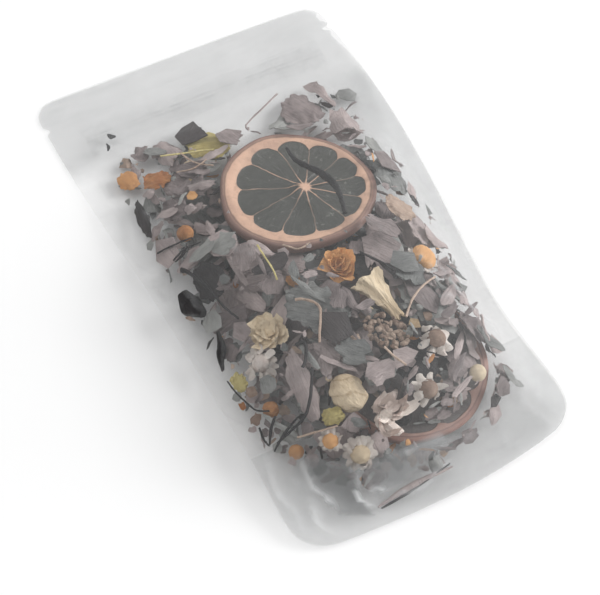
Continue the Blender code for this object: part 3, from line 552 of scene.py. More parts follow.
for name, node, radius, segments, core, flesh_reach, *colours in SLICES:
    solid = take("guide", node)
    guide = corners(solid)
    tree = BVHTree.FromPolygons([Vector(p) for p in guide], [tuple(f.vertices) for f in solid.data.polygons])
    bpy.data.objects.remove(solid)
    middle, turn, reach = axes_of(guide)
    thin = Vector(turn[:, 2])
    side = (Vector((1, 0, 0)) - thin * thin.x).normalized()
    seat = Matrix((side, thin.cross(side), thin)).transposed().to_4x4()
    seat.translation = middle
    circle = bpy.ops.mesh.primitive_circle_add
    piece = primitive(circle, vertices=segments * 12, radius=radius, fill_type="NGON")
    bpy.ops.object.mode_set(mode="EDIT")
    for _ in range(RINGS):
        bpy.ops.mesh.inset(thickness=radius / (RINGS + 2), depth=0)
    bpy.ops.mesh.poke()
    bpy.ops.object.mode_set(mode="OBJECT")
    modify(piece, "SOLIDIFY", thickness=SLICE_THICK, offset=0)
    modify(piece, "BEVEL", width=PEEL_ROUND, segments=2, limit_method="ANGLE")
    points = corners(piece)
    lay_uv(piece, points[:, :2] / (2 * radius) + 0.5, "slice")
    out = np.hypot(points[:, 0], points[:, 1]) / radius
    angle = np.arctan2(points[:, 1], points[:, 0])
    scallop = 0.03 * np.abs(np.sin(segments * angle / 2))
    sink = FLESH_SUNK * smooth(0.84 + scallop, 0.76 + scallop, out) * smooth(0.04, 0.12, out)
    points[:, 2] -= np.sign(points[:, 2]) * sink
    waves = 0.5 + 0.5 * np.sin(3 * angle) + 0.4 * np.sin(7 * angle + 1)
    points[:, :2] *= (1 - 0.02 * smooth(0.8, 1, out) * waves)[:, None]
    placed = np.array([seat @ Vector(p) for p in points])
    for k, (x, y, _) in enumerate(points):
        high = tree.ray_cast(seat @ Vector((x * 0.97, y * 0.97, 0.02)), -thin)[0]
        low = tree.ray_cast(seat @ Vector((x * 0.97, y * 0.97, -0.02)), thin)[0]
        if high and low:
            placed[k] += np.array(thin) * ((high + low) / 2 - seat.translation).dot(thin)
    if node == "citrus_slice_lower":
        placed[:, 2] -= LOWER_TILT * smooth(-0.8, 0.2, points[:, 1] / radius)
    move(piece, placed)
    piece.name = name
    hand_over(piece, slice_material(name, segments, core, flesh_reach, *colours), [node])
    if node == "citrus_slice":
        laid.append(piece)


# The camomile heads. Hollow domed discs of tiny tube flowers inside a ring of short white petals, which
# shrink and bend down as they dry. Each head: its CAD node, number and length of petals, disc's size and kind.
CAMOMILES = (
    ("camomile_right", 11, 1.0, 1.35, "amber_fruit"), ("camomile_left", 13, 1.2, 0.9, "white_petal"),
    ("camomile_low", 17, 1.25, 1.0, "cream_flower"), ("camomile_low_left", 11, 1.1, 1.1, "amber_fruit"),
    ("camomile_hip", 8, 1.15, 0.9, "tan_flower"), ("camomile_brown", 7, 1.2, 0.95, "tan_flower"),
)
DISC_TONES = {"amber_fruit": 1.0, "tan_flower": 0.1, "cream_flower": 0.7, "white_petal": 0.6}
DISC_SHARE, PETAL_FOOT = 0.56, 0.42


def shape_of(piece):
    """A modelled shape as its points, faces and places on its UV map, and the object goes."""
    faces = [tuple(f.vertices) for f in piece.data.polygons]
    points = corners(piece)
    bpy.data.objects.remove(piece)
    return points, faces, points[:, :2] / max(np.ptp(points[:, 0]), np.ptp(points[:, 1])) + 0.5


def petal_shape(width, length, across=3, along=5, thickness=0.05, tip=0.8):
    """A rounded petal from a grid, its foot at the origin, lying along +Y."""
    grid = bpy.ops.mesh.primitive_grid_add
    piece = primitive(grid, x_subdivisions=across, y_subdivisions=along, size=1, location=(0, 0.5, 0))
    bpy.ops.object.transform_apply(rotation=False, scale=False)
    points = corners(piece)
    y = points[:, 1]
    half = np.sqrt(np.clip(1 - np.abs(2 * (y * 0.94 + 0.03) - 1) ** (2.6 * tip), 0.02, 1))
    points[:, 0] *= width * half
    points[:, 1] *= length
    points[:, 2] = -0.25 * width * (2 * points[:, 0] / width) ** 2 * (0.4 + 0.6 * y)
    move(piece, points)
    modify(piece, "SOLIDIFY", thickness=thickness, offset=0)
    return shape_of(piece)


def knobbly_dome(radius, height, bumps=0.07, segments=22, rings=14):
    """A domed disc covered with tiny tube flowers."""
    piece = primitive(bpy.ops.mesh.primitive_uv_sphere_add, segments=segments, ring_count=rings, radius=1)
    points = corners(piece)
    grow = 1 + bumps * (rough(points, 0.16) + 0.6 * rough(points, 0.34, 4.0))
    points *= grow[:, None]
    points *= (radius, radius, height)
    points[:, 2] = np.where(points[:, 2] < 0, points[:, 2] * 0.35, points[:, 2])
    move(piece, points)
    return shape_of(piece)


def turned(shape, z=0.0, x=0.0, size=(1, 1, 1), place=(0, 0, 0)):
    """A copy of a shape, scaled, turned about X and then Z, and moved."""
    points, faces, uv = shape
    spin = np.array(Matrix.Rotation(z, 3, "Z") @ Matrix.Rotation(x, 3, "X"))
    return (points * size) @ spin.T + np.array(place), faces, uv


def face_out(piece):
    """Turns a closed piece's faces outwards."""
    pick(piece)
    bpy.ops.object.mode_set(mode="EDIT")
    bpy.ops.mesh.select_all(action="SELECT")
    bpy.ops.mesh.normals_make_consistent(inside=False)
    bpy.ops.object.mode_set(mode="OBJECT")


def gather(name, members, material, nodes=()):
    """Joins placed shapes, each with its own tone, into one piece."""
    points, faces, uv, tone, count = [], [], [], [], 0
    for (own, own_faces, own_uv), own_tone in members:
        faces += [tuple(i + count for i in face) for face in own_faces]
        points.append(own)
        uv.append(own_uv)
        tone.append(np.full(len(own), own_tone))
        count += len(own)
    mesh = bpy.data.meshes.new(name)
    mesh.from_pydata(np.concatenate(points), [], faces)
    piece = added(name, mesh)
    lay_uv(piece, np.concatenate(uv))
    set_tone(piece, np.concatenate(tone))
    face_out(piece)
    hand_over(piece, material, nodes)
    return piece


def seated(shape, node, size):
    """A shape set on a CAD node's middle, facing as the node does."""
    middle, turn, _ = node_axes(node)
    points, faces, uv = shape
    return points * size @ turn.T + middle, faces, uv


def bent(shape, cup, curl, seed, crease=0.0, tear=0.2, foot=0.5):
    """A copy of a flat shape that is torn at its edge, cupped, curled along its length, creased and crumpled.
    Its middle stands this far along Y."""
    points, faces, uv = shape
    x, y = points[:, 0], points[:, 1] - 0.5
    angle, away = np.arctan2(x, y), np.clip(np.hypot(x, y) * 2, 0, 1)
    ring = np.stack((np.cos(angle), np.sin(angle), 0 * angle), axis=1)
    grow = 1 + tear * away * (1.3 * rough(ring, 0.62, seed) + rough(ring, 0.23, seed + 3))
    x, y = x * grow, y * grow
    crumple = rough(np.stack((x, y, 0 * x), axis=1), 0.42, seed)
    line = np.abs(x * math.cos(seed) + y * math.sin(seed))
    lifted = points[:, 2] + cup * (4 * x**2) + curl * y**2 + 0.16 * crumple + crease * line
    return np.stack((x * (1 + 0.15 * crumple), y + foot, lifted), axis=1), faces, uv


ray_petal = petal_shape(0.46, 0.60, 4, 5, 0.045, 1.3)
head_dome = knobbly_dome(DISC_SHARE, 0.46)
for node, count, length, disc, middle_slot in CAMOMILES:
    radius = node_axes(node)[2][:2].mean()
    petals = []
    for k in range(count):
        turn = 2 * math.pi * (k + rng.uniform(-0.25, 0.25)) / count
        droop = -rng.uniform(0.25, 0.95)
        foot = (-math.sin(turn) * PETAL_FOOT, math.cos(turn) * PETAL_FOOT, 0.05 + rng.uniform(-0.05, 0.05))
        size = (rng.uniform(0.8, 1.15), length * rng.uniform(0.75, 1.05), 1 + rng.uniform(0, 1.5))
        shape = bent(ray_petal, *rng.uniform(-0.5, 0.5, 2), rng.uniform(0, 40), rng.uniform(-0.4, 0.4))
        petals.append((seated(turned(shape, turn, droop, size, foot), node, radius), rng.uniform(0.75, 1.2)))
    laid.append(gather(node + "_petals", petals, dried["white_petal"], [node]))
    dome = seated(turned(head_dome, size=(disc, disc, 1), place=(0, 0, -0.02)), node, radius)
    disc_piece = [(dome, DISC_TONES[middle_slot])]
    laid.append(gather(node + "_disc", disc_piece, dried[middle_slot]))


# The cream rose bud. Picked closed and dried: a rounded body of petals that wrap over each other, with thin
# edges that have browned.
LAPS, LAP_STEP, BUD_TONE = 3, 0.09, 0.75
middle, turn, reach = node_axes("rose_bud_cream")
piece = primitive(bpy.ops.mesh.primitive_uv_sphere_add, segments=64, ring_count=36, radius=1)
points = corners(piece)
along = points[:, 2].copy()
round_turn = np.arctan2(points[:, 1], points[:, 0]) / (2 * math.pi)
bend = 0.22 * rough(points, 0.7, 6.0)
lap = np.mod(LAPS * round_turn + 1.1 * along + bend, 1.0)
lap_in = np.mod(2 * round_turn - 0.8 * along + 0.5 + bend, 1.0)
body = 1 + LAP_STEP * (lap - 0.5) + 0.8 * LAP_STEP * (lap_in - 0.5) * (along > -0.2)
points[:, :2] *= body[:, None]
points *= (1 + 0.10 * rough(points, 0.45, 3.0))[:, None]
local = np.stack((points[:, 0], points[:, 2], points[:, 1]), axis=1)
local /= np.abs(local).max(axis=0)
move(piece, middle + (local * reach) @ turn.T)
piece.name = "rose_bud_cream_petals"
lay_uv(piece, np.stack((round_turn * 2, 1.5 * along), axis=1))
dark = 0.5 * smooth(0.86, 1.0, lap) + 0.3 * smooth(0.88, 1.0, lap_in) * (along > -0.2)
set_tone(piece, BUD_TONE - dark - 0.35 * smooth(0, -1, along))
hand_over(piece, dried["cream_flower"], ["rose_bud_cream"])
laid.append(piece)


# The open blossoms. An apricot rose and an orange blossom: wide ragged petals in rings, steeper towards the
# middle. Each blossom: its CAD node, spread, kind and tone, and its rings' count, lean, length and width.
BLOSSOMS = (
    ("rose_bud_apricot", 1.2, "cream_flower", 1.4,
     ((6, 0.05, 0.95, 1.2), (4, 0.3, 0.7, 1.1), (3, 0.7, 0.45, 0.9))),
    ("orange_blossom", 1.25, "amber_fruit", 1.2,
     ((5, 0.3, 1.0, 0.95), (5, 0.8, 0.9, 0.9), (3, 1.2, 0.7, 0.7))),
)
wide_petal = petal_shape(0.85, 1.0, 5, 6, 0.04, 1.0)
for node, spread, slot, tone, rings in BLOSSOMS:
    radius = spread * node_axes(node)[2][:2].mean()
    petals = []
    for count, lean, length, width in rings:
        for k in range(count):
            shape = bent(wide_petal, 0.5, rng.uniform(-0.5, 0.1), rng.uniform(0, 40), 0.2, 0.3)
            angle = 2 * math.pi * (k + rng.uniform(-0.2, 0.2)) / count + lean
            size = (width * 1.1, length, 1)
            placed = turned(shape, angle, lean + rng.uniform(-0.12, 0.12), size, (0, 0, -0.35))
            petals.append((seated(placed, node, radius), tone - rng.uniform(0, 0.4)))
    laid.append(gather(node + "_petals", petals, dried[slot], [node]))


# The honeysuckle. A crumpled pale tube of thin petal, open at both ends, that widens into a five-sided mouth
# and browns towards its narrow foot.
TUBE_WALL = 0.0004
middle, turn, reach = node_axes("honeysuckle_flower")
cylinder = bpy.ops.mesh.primitive_cylinder_add
piece = primitive(cylinder, vertices=28, radius=1, depth=2, end_fill_type="NOTHING")
bpy.ops.object.mode_set(mode="EDIT")
bpy.ops.mesh.select_all(action="SELECT")
bpy.ops.mesh.subdivide(number_cuts=12)
bpy.ops.object.mode_set(mode="OBJECT")
points = corners(piece)
along = points[:, 2].copy()
spin = np.arctan2(points[:, 1], points[:, 0])
wide = 0.34 + 0.30 * smooth(-0.6, 0.5, along) + 0.36 * smooth(0.45, 1.0, along)
crumple = 0.30 * rough(points, 0.45, 2.0) + 0.18 * rough(points, 0.18, 5.0)
wide *= 1 + 0.10 * np.sin(5 * spin + 2 * along) + crumple
lip = along * (1 - 0.06 * np.sin(5 * spin))
local = np.stack((points[:, 0] * wide, lip, points[:, 1] * wide * 0.7), axis=1)
guide = (corners(frame["nodes"]["honeysuckle_flower"]) - middle) @ turn
mouth = 1 if np.abs(guide[guide[:, 1] > 0, 0]).mean() > np.abs(guide[guide[:, 1] < 0, 0]).mean() else -1
local[:, 1] *= mouth
move(piece, middle + (local * (reach[0] * 1.05, reach[1], reach[0])) @ turn.T)
face_out(piece)
modify(piece, "SOLIDIFY", thickness=TUBE_WALL, offset=-1)
piece.name = "honeysuckle_tube"
along = mouth * ((corners(piece) - middle) @ turn)[:, 1] / reach[1]
lay_uv(piece, np.stack((corners(piece)[:, 0] * 60, along * 0.5), axis=1))
set_tone(piece, 0.45 + 0.5 * smooth(-0.8, 0.6, along))
hand_over(piece, dried["cream_flower"], ["honeysuckle_flower"])
laid.append(piece)


# The jasmine. A crumpled tuft of narrow white lobes that fan out to one side.
JASMINE_SIZE, LOBES = 0.0074, 18
narrow_lobe = petal_shape(0.30, 1.0, thickness=0.06, tip=1.1)
middle = node_axes("jasmine_flower")[0]
lobes = []
for k in range(LOBES):
    shape = bent(narrow_lobe, *rng.uniform(-1.4, 1.4, 2), rng.uniform(0, 40), rng.uniform(-1.0, 1.0), 0.4)
    size = np.array((rng.uniform(1.1, 2.0), rng.uniform(0.5, 1.25), 1.3)) * JASMINE_SIZE
    aside = np.array((rng.uniform(-0.7, 0.3), rng.uniform(-0.25, 0.45), rng.uniform(0, 0.25)))
    foot = middle + aside * JASMINE_SIZE
    placed = turned(shape, rng.uniform(-3.0, -0.8), rng.uniform(-0.25, 0.35), size, foot)
    lobes.append((placed, rng.uniform(0.3, 0.95)))
laid.append(gather("jasmine_lobes", lobes, dried["white_petal"], ["jasmine_flower"]))


# The floret. A head of small tan husks, packed close on a flat oval and falling away at its edge.
FLORET_SIZE, HUSKS = 0.0066, 80
husk = knobbly_dome(0.13, 0.13, 0.12, 8, 6)
husks = []
for k in range(HUSKS):
    away, angle = 1.15 * math.sqrt(rng.uniform(0, 1)), rng.uniform(0, 2 * math.pi)
    high = 0.25 - 0.25 * away + rng.uniform(-0.1, 0.05)
    place = (away * math.cos(angle), away * math.sin(angle) * 0.75, high)
    size = tuple(rng.uniform(0.55, 1.5, 3))
    shape = turned(husk, rng.uniform(0, 6), rng.uniform(-1, 1), size, place)
    husks.append((seated(shape, "tan_floret", FLORET_SIZE), rng.uniform(0.0, 0.9)))
laid.append(gather("tan_floret_husks", husks, dried["tan_flower"], ["tan_floret"]))


# The berries. Small whole fruit with a thin waxy skin, which shrank and wrinkled as they dried, painted darker
# in the wrinkles' hollows as painted shade. Each berry: its CAD node, how deep its wrinkles are, and its tone.
BERRIES = (
    ("yellow_berry", 0.03, 1.0), ("orange_berry", 0.14, 0.45), ("orange_hip", 0.07, 0.7),
    ("orange_bead", 0.10, 0.5),
)
for node, wrinkle, tone in BERRIES:
    middle, turn, reach = node_axes(node)
    piece = primitive(bpy.ops.mesh.primitive_uv_sphere_add, segments=32, ring_count=20, radius=1)
    points = corners(piece)
    puckered = -np.abs(rough(points * (1, 1, 0.4), 0.45, reach[0] * 9e3)) + 0.4 * rough(points, 0.2)
    points *= (1 + wrinkle * puckered * 1.5)[:, None]
    move(piece, middle + (points * reach) @ turn.T)
    piece.name = node + "_skin"
    lay_uv(piece, points[:, :2])
    # Painted shade: the skin is darker in the wrinkles' hollows.
    set_tone(piece, tone + 1.6 * wrinkle * puckered)
    shade = "cream_flower" if node == "yellow_berry" else "amber_fruit"
    hand_over(piece, dried[shade], [node])
    laid.append(piece)


# The twigs and stalks. Thin broken stems that lie pressed between the film and the petals. Each twig: its
# name, its kind of dried plant, its radius in mm at its foot, middle and tip, and its way in mm.
TWIG_GAP, TWIG_KNOTS = 0.0002, 0.00018
BLACK, TAN, GREY, YELLOW = "black_petal", "tan_flower", "grey_petal", "yellow_petal"
TWIGS = (
    ("slice_twig", BLACK, (0.5, 1.35, 0.7),
     (10.1, 35, 9.0, 28.4, 11.8, 22.7, 14.4, 17.5, 14.8, 11.9, 13.4, 6.1, 11.2, 0)),
    ("top_stem", GREY, (0.35, 0.3, 0.3),
     (21.2, 60.6, 11.3, 55.6, 3.4, 51.8, 3.7, 48.8, 4.4, 50.5)),
    ("left_stick", BLACK, (0.3, 0.3, 0.25), (-44.7, 20, -37.9, 17.8, -34.5, 16.6)),
    ("left_fork", BLACK, (0.35, 0.3, 0.25), (-42.2, 13.8, -38.2, 15, -33.2, 13.4)),
    ("bent_stem", BLACK, (0.9, 0.45, 0.35),
     (-41.5, 9.4, -40.5, 7.8, -38.8, 2, -37.4, -4.4, -36.8, -10.1, -34.8, -16.2)),
    ("yellow_stem", YELLOW, (0.35, 0.3, 0.3), (-19.5, 1.8, -19.6, -2.9, -19.1, -6.5, -19.7, -12)),
    ("pale_stalk", TAN, (0.5, 0.45, 0.4),
     (-18, -20.5, -15.8, -21.3, -13.1, -23.9, -12.1, -26.4, -15, -31.3, -18.1, -36.5)),
    ("dark_loop", BLACK, (0.6, 0.6, 0.5),
     (-24.6, -33.8, -22.2, -33.4, -21.8, -35.5, -24.3, -39.7, -26.1, -41)),
    ("long_stick", BLACK, (0.45, 0.5, 0.35),
     (-23.7, -42.7, -28.4, -50.7, -32.1, -55, -37.1, -55.6, -41.4, -56)),
    ("low_stem", TAN, (0.35, 0.35, 0.3), (-36.2, -58.3, -29.7, -60.6, -24.9, -61.8)),
    ("mid_stem", TAN, (0.4, 0.4, 0.35), (-1.3, -47.2, -0.2, -51.6, 1.9, -55.4)),
    ("flower_stem", TAN, (0.35, 0.35, 0.4),
     (27.5, -30.9, 20.7, -33.1, 14.9, -36.3, 10.3, -40.9)),
    ("black_twig", BLACK, (0.3, 0.45, 0.5), (8.3, -14.5, 10.5, -18.1, 14.3, -22.4, 15.4, -24.8)),
    ("left_pod", BLACK, (0.6, 1.7, 0.5), (-41.2, -15.2, -41.7, -19.4, -43.4, -22, -44.6, -26)),
    ("bottom_sliver", GREY, (0.3, 1.3, 0.3), (-21, -85.6, -13, -84.6, -4, -84.6, 6, -84.8)),
    ("bottom_twig", BLACK, (0.3, 0.5, 0.2), (-20, -86.4, -8, -85.8, 5.5, -83.9)),
    ("seed_pod", BLACK, (1.8, 4.0, 1.4), (-44, 3.5, -43.4, -1.5, -42.0, -7)),
    ("crumb_a", BLACK, (0.3, 0.9, 0.3), (-38.4, 70.6, -37.6, 69.4, -36.2, 68.6)),
    ("crumb_b", BLACK, (0.2, 0.7, 0.3), (-40.2, 67.2, -40.0, 65.8, -40.9, 64.4)),
    ("left_thin", BLACK, (0.25, 0.3, 0.3),
     (-45, -30, -44.5, -35, -43.4, -39.5, -42.4, -44, -39.5, -46.5)),
    ("low_fork_a", BLACK, (0.3, 0.4, 0.3), (-43.6, -48.5, -44.2, -52.4, -43.6, -55.2)),
    ("low_fork_b", BLACK, (0.4, 0.5, 0.3), (-38.8, -49, -41.5, -51.4, -43.4, -55)),
    ("low_fork_c", BLACK, (0.3, 0.5, 0.3), (-34, -53.6, -39, -55, -43, -57.4)),
    ("right_stick", GREY, (0.5, 0.4, 0.3), (37.7, -46.4, 34.6, -51.8, 34.0, -56.4)),
    ("upper_stem", YELLOW, (0.3, 0.3, 0.3), (-27.3, 53.1, -19, 50, -10.6, 46.9)),
    ("upper_fork", TAN, (0.3, 0.3, 0.25), (-21, 51, -19, 44, -14.6, 40)),
    ("side_fork", TAN, (0.25, 0.3, 0.25), (-26, 44, -20, 42, -15, 44)),
    ("cross_stem", TAN, (0.3, 0.3, 0.25), (-12.5, -2, -9, -6, -4.5, -5)),
)


def joined_tree(pieces):
    """One search tree over several pieces."""
    points, faces, count = [], [], 0
    for piece in pieces:
        own = corners(piece)
        faces += [tuple(i + count for i in f.vertices) for f in piece.data.polygons]
        points += [Vector(p) for p in own]
        count += len(own)
    return BVHTree.FromPolygons(points, faces)


film_tree, twigs = joined_tree([webs["film_front"]]), []
UP = Vector((0, 0, 1))


def under_film(x, y):
    """The film's height, seen from below."""
    hit = film_tree.ray_cast(Vector((x, y, -1)), UP)[0]
    return hit.z if hit else 0.004


for name, slot, radii, route in TWIGS:
    curve = bpy.data.curves.new(name, "CURVE")
    curve.dimensions = "3D"
    curve.bevel_depth, curve.bevel_resolution, curve.use_fill_caps = 0.001, 2, True
    spline = curve.splines.new("POLY")
    line = np.array(route).reshape(-1, 2) / 1000
    share = np.linspace(0, len(line) - 1, 4 * len(line) - 3)
    smooth_x = np.interp(share, range(len(line)), line[:, 0])
    smooth_y = np.interp(share, range(len(line)), line[:, 1])
    for _ in range(3):
        smooth_x[1:-1] = (smooth_x[:-2] + 2 * smooth_x[1:-1] + smooth_x[2:]) / 4
        smooth_y[1:-1] = (smooth_y[:-2] + 2 * smooth_y[1:-1] + smooth_y[2:]) / 4
    spline.points.add(len(share) - 1)
    thick = np.interp(share / share[-1], (0, 0.5, 1), radii)
    for point, x, y, radius in zip(spline.points, smooth_x, smooth_y, thick):
        point.co = (x, y, under_film(x, y) - TWIG_GAP - radius / 1000, 1)
        point.radius = radius
    piece = added(name, curve)
    bpy.ops.object.convert(target="MESH")
    piece = bpy.context.object
    points = corners(piece)
    points += TWIG_KNOTS * np.stack([rough(points, 0.0012, s) for s in (0.0, 5.0, 9.0)], axis=1)
    move(piece, points)
    lay_uv(piece, points[:, :2] * 60)
    set_tone(piece, np.full(len(points), 0.1 if slot == BLACK else rng.uniform(0.5, 1.0)))
    hand_over(piece, dried[slot])
    twigs.append(piece)

# The dark stalk of the long leaves, smoothed from the CAD model's own.
piece = take("dried_stalk", "leaf_stalk")
modify(piece, "SUBSURF", levels=2, render_levels=2)
lay_uv(piece, corners(piece)[:, :2] * 60)
set_tone(piece, np.full(len(piece.data.vertices), 0.4))
hand_over(piece, dried[BLACK], ["leaf_stalk"])


# The loose heap. About a thousand small petals, leaves and bits, which fill the pouch between the pieces
# above. Six are modelled and copied: each copy is pressed up, or laid down, until it meets what is already
# there. HEAP_EDGE is the heap's outline from above, in mm.
HEAP_EDGE = (
    (-41, 57), (-27, 57), (-16, 56), (-11, 54), (2, 47), (17, 46), (22, 54), (32, 58), (40, 53), (44, 43),
    (42, 33), (42, 27), (46, 23), (45, 11), (42, 1), (47, -3), (47, -10), (45, -16), (43, -27), (37, -40),
    (38, -49), (38, -59), (38, -64), (28, -73), (16, -79), (6, -81), (-8, -80), (-22, -77), (-32, -69),
    (-41, -61), (-44, -53), (-45, -35), (-46, -23), (-46, -12), (-46, -4), (-43, 7), (-45, 16), (-44, 21),
    (-46, 27), (-44, 42), (-44, 49),
)
# The sizes of the grid of heights, the room that a loose piece takes, and how near it comes to others.
CELL, THIN, REST_GAP, SIDE_GAP = 0.0006, 0.0005, 0.0001, 0.0002
low_x, low_y = -0.057, -0.092
columns, rows = int(0.114 / CELL) + 1, int(0.184 / CELL) + 1


def field(pieces, from_above):
    """How high the first of some pieces is, seen from above or from below. Nothing is -1 or 1."""
    tree, start, way = joined_tree(pieces), (1 if from_above else -1), (-UP if from_above else UP)
    heights = np.full((columns, rows), float(-start))
    for i in range(columns):
        for j in range(rows):
            hit = tree.ray_cast(Vector((low_x + i * CELL, low_y + j * CELL, start)), way)[0]
            if hit:
                heights[i, j] = hit.z
    return heights


# Loose pieces may lie over the larger petals, apart from these, but not over the flowers and the upper slice.
SHOWN = (
    "petal_top_right", "petal_upper_right", "petal_orange_left", "petal_orange_far", "petal_tan_right",
    "petal_yellow_left", "petal_yellow_low",
)
petals = [piece for piece in laid if piece.name.startswith("dried_petal") and piece.name[6:] not in SHOWN]
lower_slice = bpy.data.objects["citrus_lower"]
back_petals = [bpy.data.objects[f"dried_back_petal_{k}"] for k in range(1, 7)]
back_top = field([webs["film_back"], webs["film_gusset"]], True)
floor_top = np.maximum(back_top, field([lower_slice] + back_petals, True))
ceiling = field([webs["film_front"]] + laid, False)
film_ceiling = field([webs["film_front"]] + twigs, False)
ceiling[ceiling > 0.9] = -1
film_ceiling[film_ceiling > 0.9] = -1
clear = field([piece for piece in laid if piece not in petals], True) > -0.9
upper_floor = np.where(clear, 1.0, np.maximum(floor_top, field(petals, True)))
grid_x, grid_y = np.meshgrid(low_x + CELL * np.arange(columns), low_y + CELL * np.arange(rows), indexing="ij")
# The lower slice's rim shows at the bottom, so nothing lies over it there.
rim_x, rim_y = corners(lower_slice)[:, :2].mean(axis=0)
from_rim, rim_turn = np.hypot(grid_x - rim_x, grid_y - rim_y), np.arctan2(grid_y - rim_y, grid_x - rim_x)
rim = (from_rim > 0.0237) & (from_rim < 0.0285) & (rim_turn > -2.1) & (rim_turn < -0.35)
upper_floor[rim] = 1.0
floor_top[rim] = 1.0
slice_under = field([lower_slice], False)
slice_under[slice_under < -0.9] = 1


def inside_edge(x, y):
    """Whether a place lies in the heap's outline."""
    found = False
    for (ax, ay), (bx, by) in zip(HEAP_EDGE, HEAP_EDGE[1:] + HEAP_EDGE[:1]):
        if (ay > y) != (by > y) and x < (bx - ax) * (y - ay) / (by - ay) + ax:
            found = not found
    return found


def cells_of(points):
    """The grid's cells that some points are in."""
    i = np.clip(((points[:, 0] - low_x) / CELL).round().astype(int), 0, columns - 1)
    j = np.clip(((points[:, 1] - low_y) / CELL).round().astype(int), 0, rows - 1)
    return i, j


def dense(points, faces):
    """Points spread over a shape's faces."""
    quads = np.array([points[list(f if len(f) == 4 else (*f, f[-1]))] for f in faces])
    a, b, c, d = (quads[:, k] for k in range(4))
    spread = []
    for u in (0.12, 0.37, 0.63, 0.88):
        for v in (0.12, 0.37, 0.63, 0.88):
            spread.append((1 - u) * ((1 - v) * a + v * d) + u * ((1 - v) * b + v * c))
    return np.concatenate([points, *spread])


def settled(points, faces, way, met, behind):
    """A shape moved up (1) or down (-1) until it meets what is there, or None where there is no room."""
    spread = dense(points, faces)
    cells, height = cells_of(spread), spread[:, 2]
    shift = way * ((way * (met[cells] - height)).min() - REST_GAP)
    if (way * (height + shift) < way * behind[cells] + SIDE_GAP).any():
        return None
    (np.minimum if way > 0 else np.maximum).at(met, cells, height + shift - way * THIN / 2)
    return points + (0, 0, shift)


def flake_shape(corner_count, thickness=0.035):
    """A torn bit with a few corners."""
    circle = bpy.ops.mesh.primitive_circle_add
    piece = primitive(circle, vertices=corner_count, radius=0.5, fill_type="NGON", location=(0, 0.5, 0))
    bpy.ops.object.transform_apply(rotation=False, scale=False)
    bpy.ops.object.mode_set(mode="EDIT")
    bpy.ops.mesh.inset(thickness=0.22, depth=0.02)
    bpy.ops.mesh.poke()
    bpy.ops.object.mode_set(mode="OBJECT")
    modify(piece, "SOLIDIFY", thickness=thickness, offset=0)
    return shape_of(piece)


heap_shapes = {
    "flake": flake_shape(7, 0.028), "shard": flake_shape(5, 0.028),
    "round": petal_shape(0.9, 1.0, 5, 6, 0.028, 1.0), "long": petal_shape(0.55, 1.0, 4, 6, 0.028, 0.8),
    "leaf": petal_shape(0.36, 1.0, 3, 6, 0.025, 0.7), "sliver": petal_shape(0.16, 1.0, 3, 6, 0.035, 0.8),
}
# The share of each kind of dried plant.
MIX = (
    ("grey_petal", 0.49), ("grey_green_leaf", 0.32), ("black_petal", 0.05), ("tan_flower", 0.09),
    ("amber_fruit", 0.03), ("cream_flower", 0.02),
)
loose = {slot: [] for slot, _ in MIX}


def film_facing(x, y):
    """Turns a shape to lie along the film."""
    reach = 0.003
    slope_x = (under_film(x + reach, y) - under_film(x - reach, y)) / (2 * reach)
    slope_y = (under_film(x, y + reach) - under_film(x, y - reach)) / (2 * reach)
    normal = Vector((-slope_x, -slope_y, 1)).normalized()
    return np.array(UP.rotation_difference(normal).to_matrix())


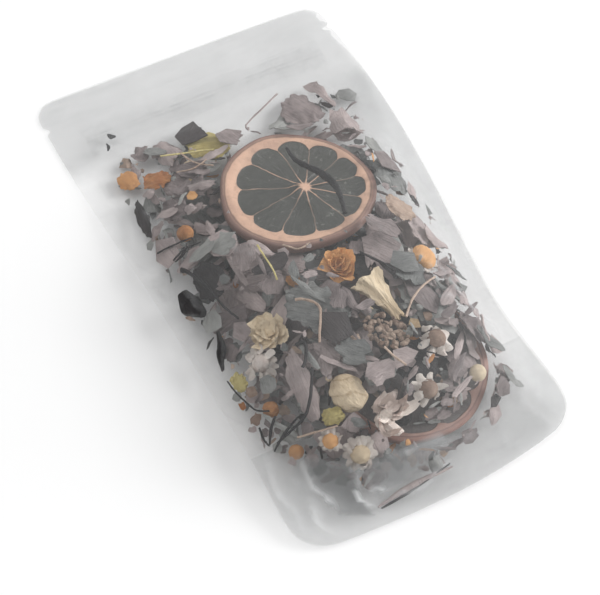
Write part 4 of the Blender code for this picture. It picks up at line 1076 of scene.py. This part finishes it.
def scatter(count, sizes, tilt, way, met, behind, bend=0.5, part=(-48, 48, -82, 59)):
    """Seats up to this many random copies inside the heap's outline, with their sizes and this part in mm."""
    for _ in range(count):
        x, y = rng.uniform(*part[:2]), rng.uniform(*part[2:])
        kind = rng.choice(["round", "round", "flake", "flake", "shard", "long", "leaf", "sliver"])
        size = rng.uniform(*sizes)
        slot = rng.choice([name for name, _ in MIX], p=[share for _, share in MIX])
        if size > 6 and slot in ("tan_flower", "amber_fruit", "cream_flower"):
            slot = "grey_petal"
        turn = rng.uniform(0, 2 * math.pi, 2)
        lean, (cup, curl) = rng.uniform(0, tilt), rng.uniform(-bend, bend, 2)
        seed, tone = rng.uniform(0, 1, 2)
        if not inside_edge(x, y):
            continue
        shape, crease = heap_shapes[kind], rng.uniform(-bend, bend)
        points, faces, uv = bent(shape, cup, curl, 40 * seed, crease, 0.34, -0.5)
        points = points * size / 1000
        spin = Matrix.Rotation(turn[0], 3, "Z") @ Matrix.Rotation(lean, 3, "X")
        spin = spin @ Matrix.Rotation(turn[1], 3, "Z")
        facing = film_facing(x / 1000, y / 1000) if way > 0 else np.eye(3)
        points = points @ np.array(spin).T @ facing.T + (x / 1000, y / 1000, 0)
        seat = settled(points, faces, way, met, behind)
        if seat is not None:
            loose[slot].append(((seat, faces, uv), tone))


# The top layer, right under the film, and again where it has to be thicker: over the lower slice, along the
# bottom and at the lower left.
for count, sizes, tilt, bend, *part in (
    (1500, (7, 13), 0.08, 0.12), (700, (3, 7), 0.2, 0.25), (500, (0.9, 2.6), 0.6, 0.5),
    (900, (4, 9), 0.06, 0.08, (-16, 36, -74, -24)), (500, (3, 7), 0.08, 0.10, (-26, 30, -81, -66)),
    (1400, (2.2, 5.5), 0.07, 0.08, (-6, 38, -76, -30)), (700, (4, 9), 0.10, 0.10, (-47, -18, -78, -30)),
    (500, (2, 5), 0.15, 0.10, (-47, -18, -78, -30)),
):
    scatter(count, sizes, tilt, 1, film_ceiling, upper_floor, bend, *part)
# The layers below it, and what lies on the back panel.
ceiling = np.minimum(ceiling, film_ceiling)
for count, sizes, tilt in ((450, (9, 17), 0.35), (650, (4, 10), 0.6), (400, (1.5, 4), 0.9)):
    scatter(count, sizes, tilt, 1, ceiling, floor_top)
lower_ceiling, back_floor = np.minimum(ceiling, slice_under), np.maximum(back_top, field(back_petals, True))
for count, sizes, tilt in ((220, (9, 17), 0.3), (260, (4, 9), 0.5)):
    scatter(count, sizes, tilt, -1, back_floor, lower_ceiling)
for slot, members in loose.items():
    nodes = ["petal_heap"] if slot == "grey_petal" else []
    gather("loose_" + slot, members, dried[slot], nodes)

# The film and the zipper are looked through many times over, one layer behind another.
bpy.context.scene.cycles.transparent_max_bounces = 24
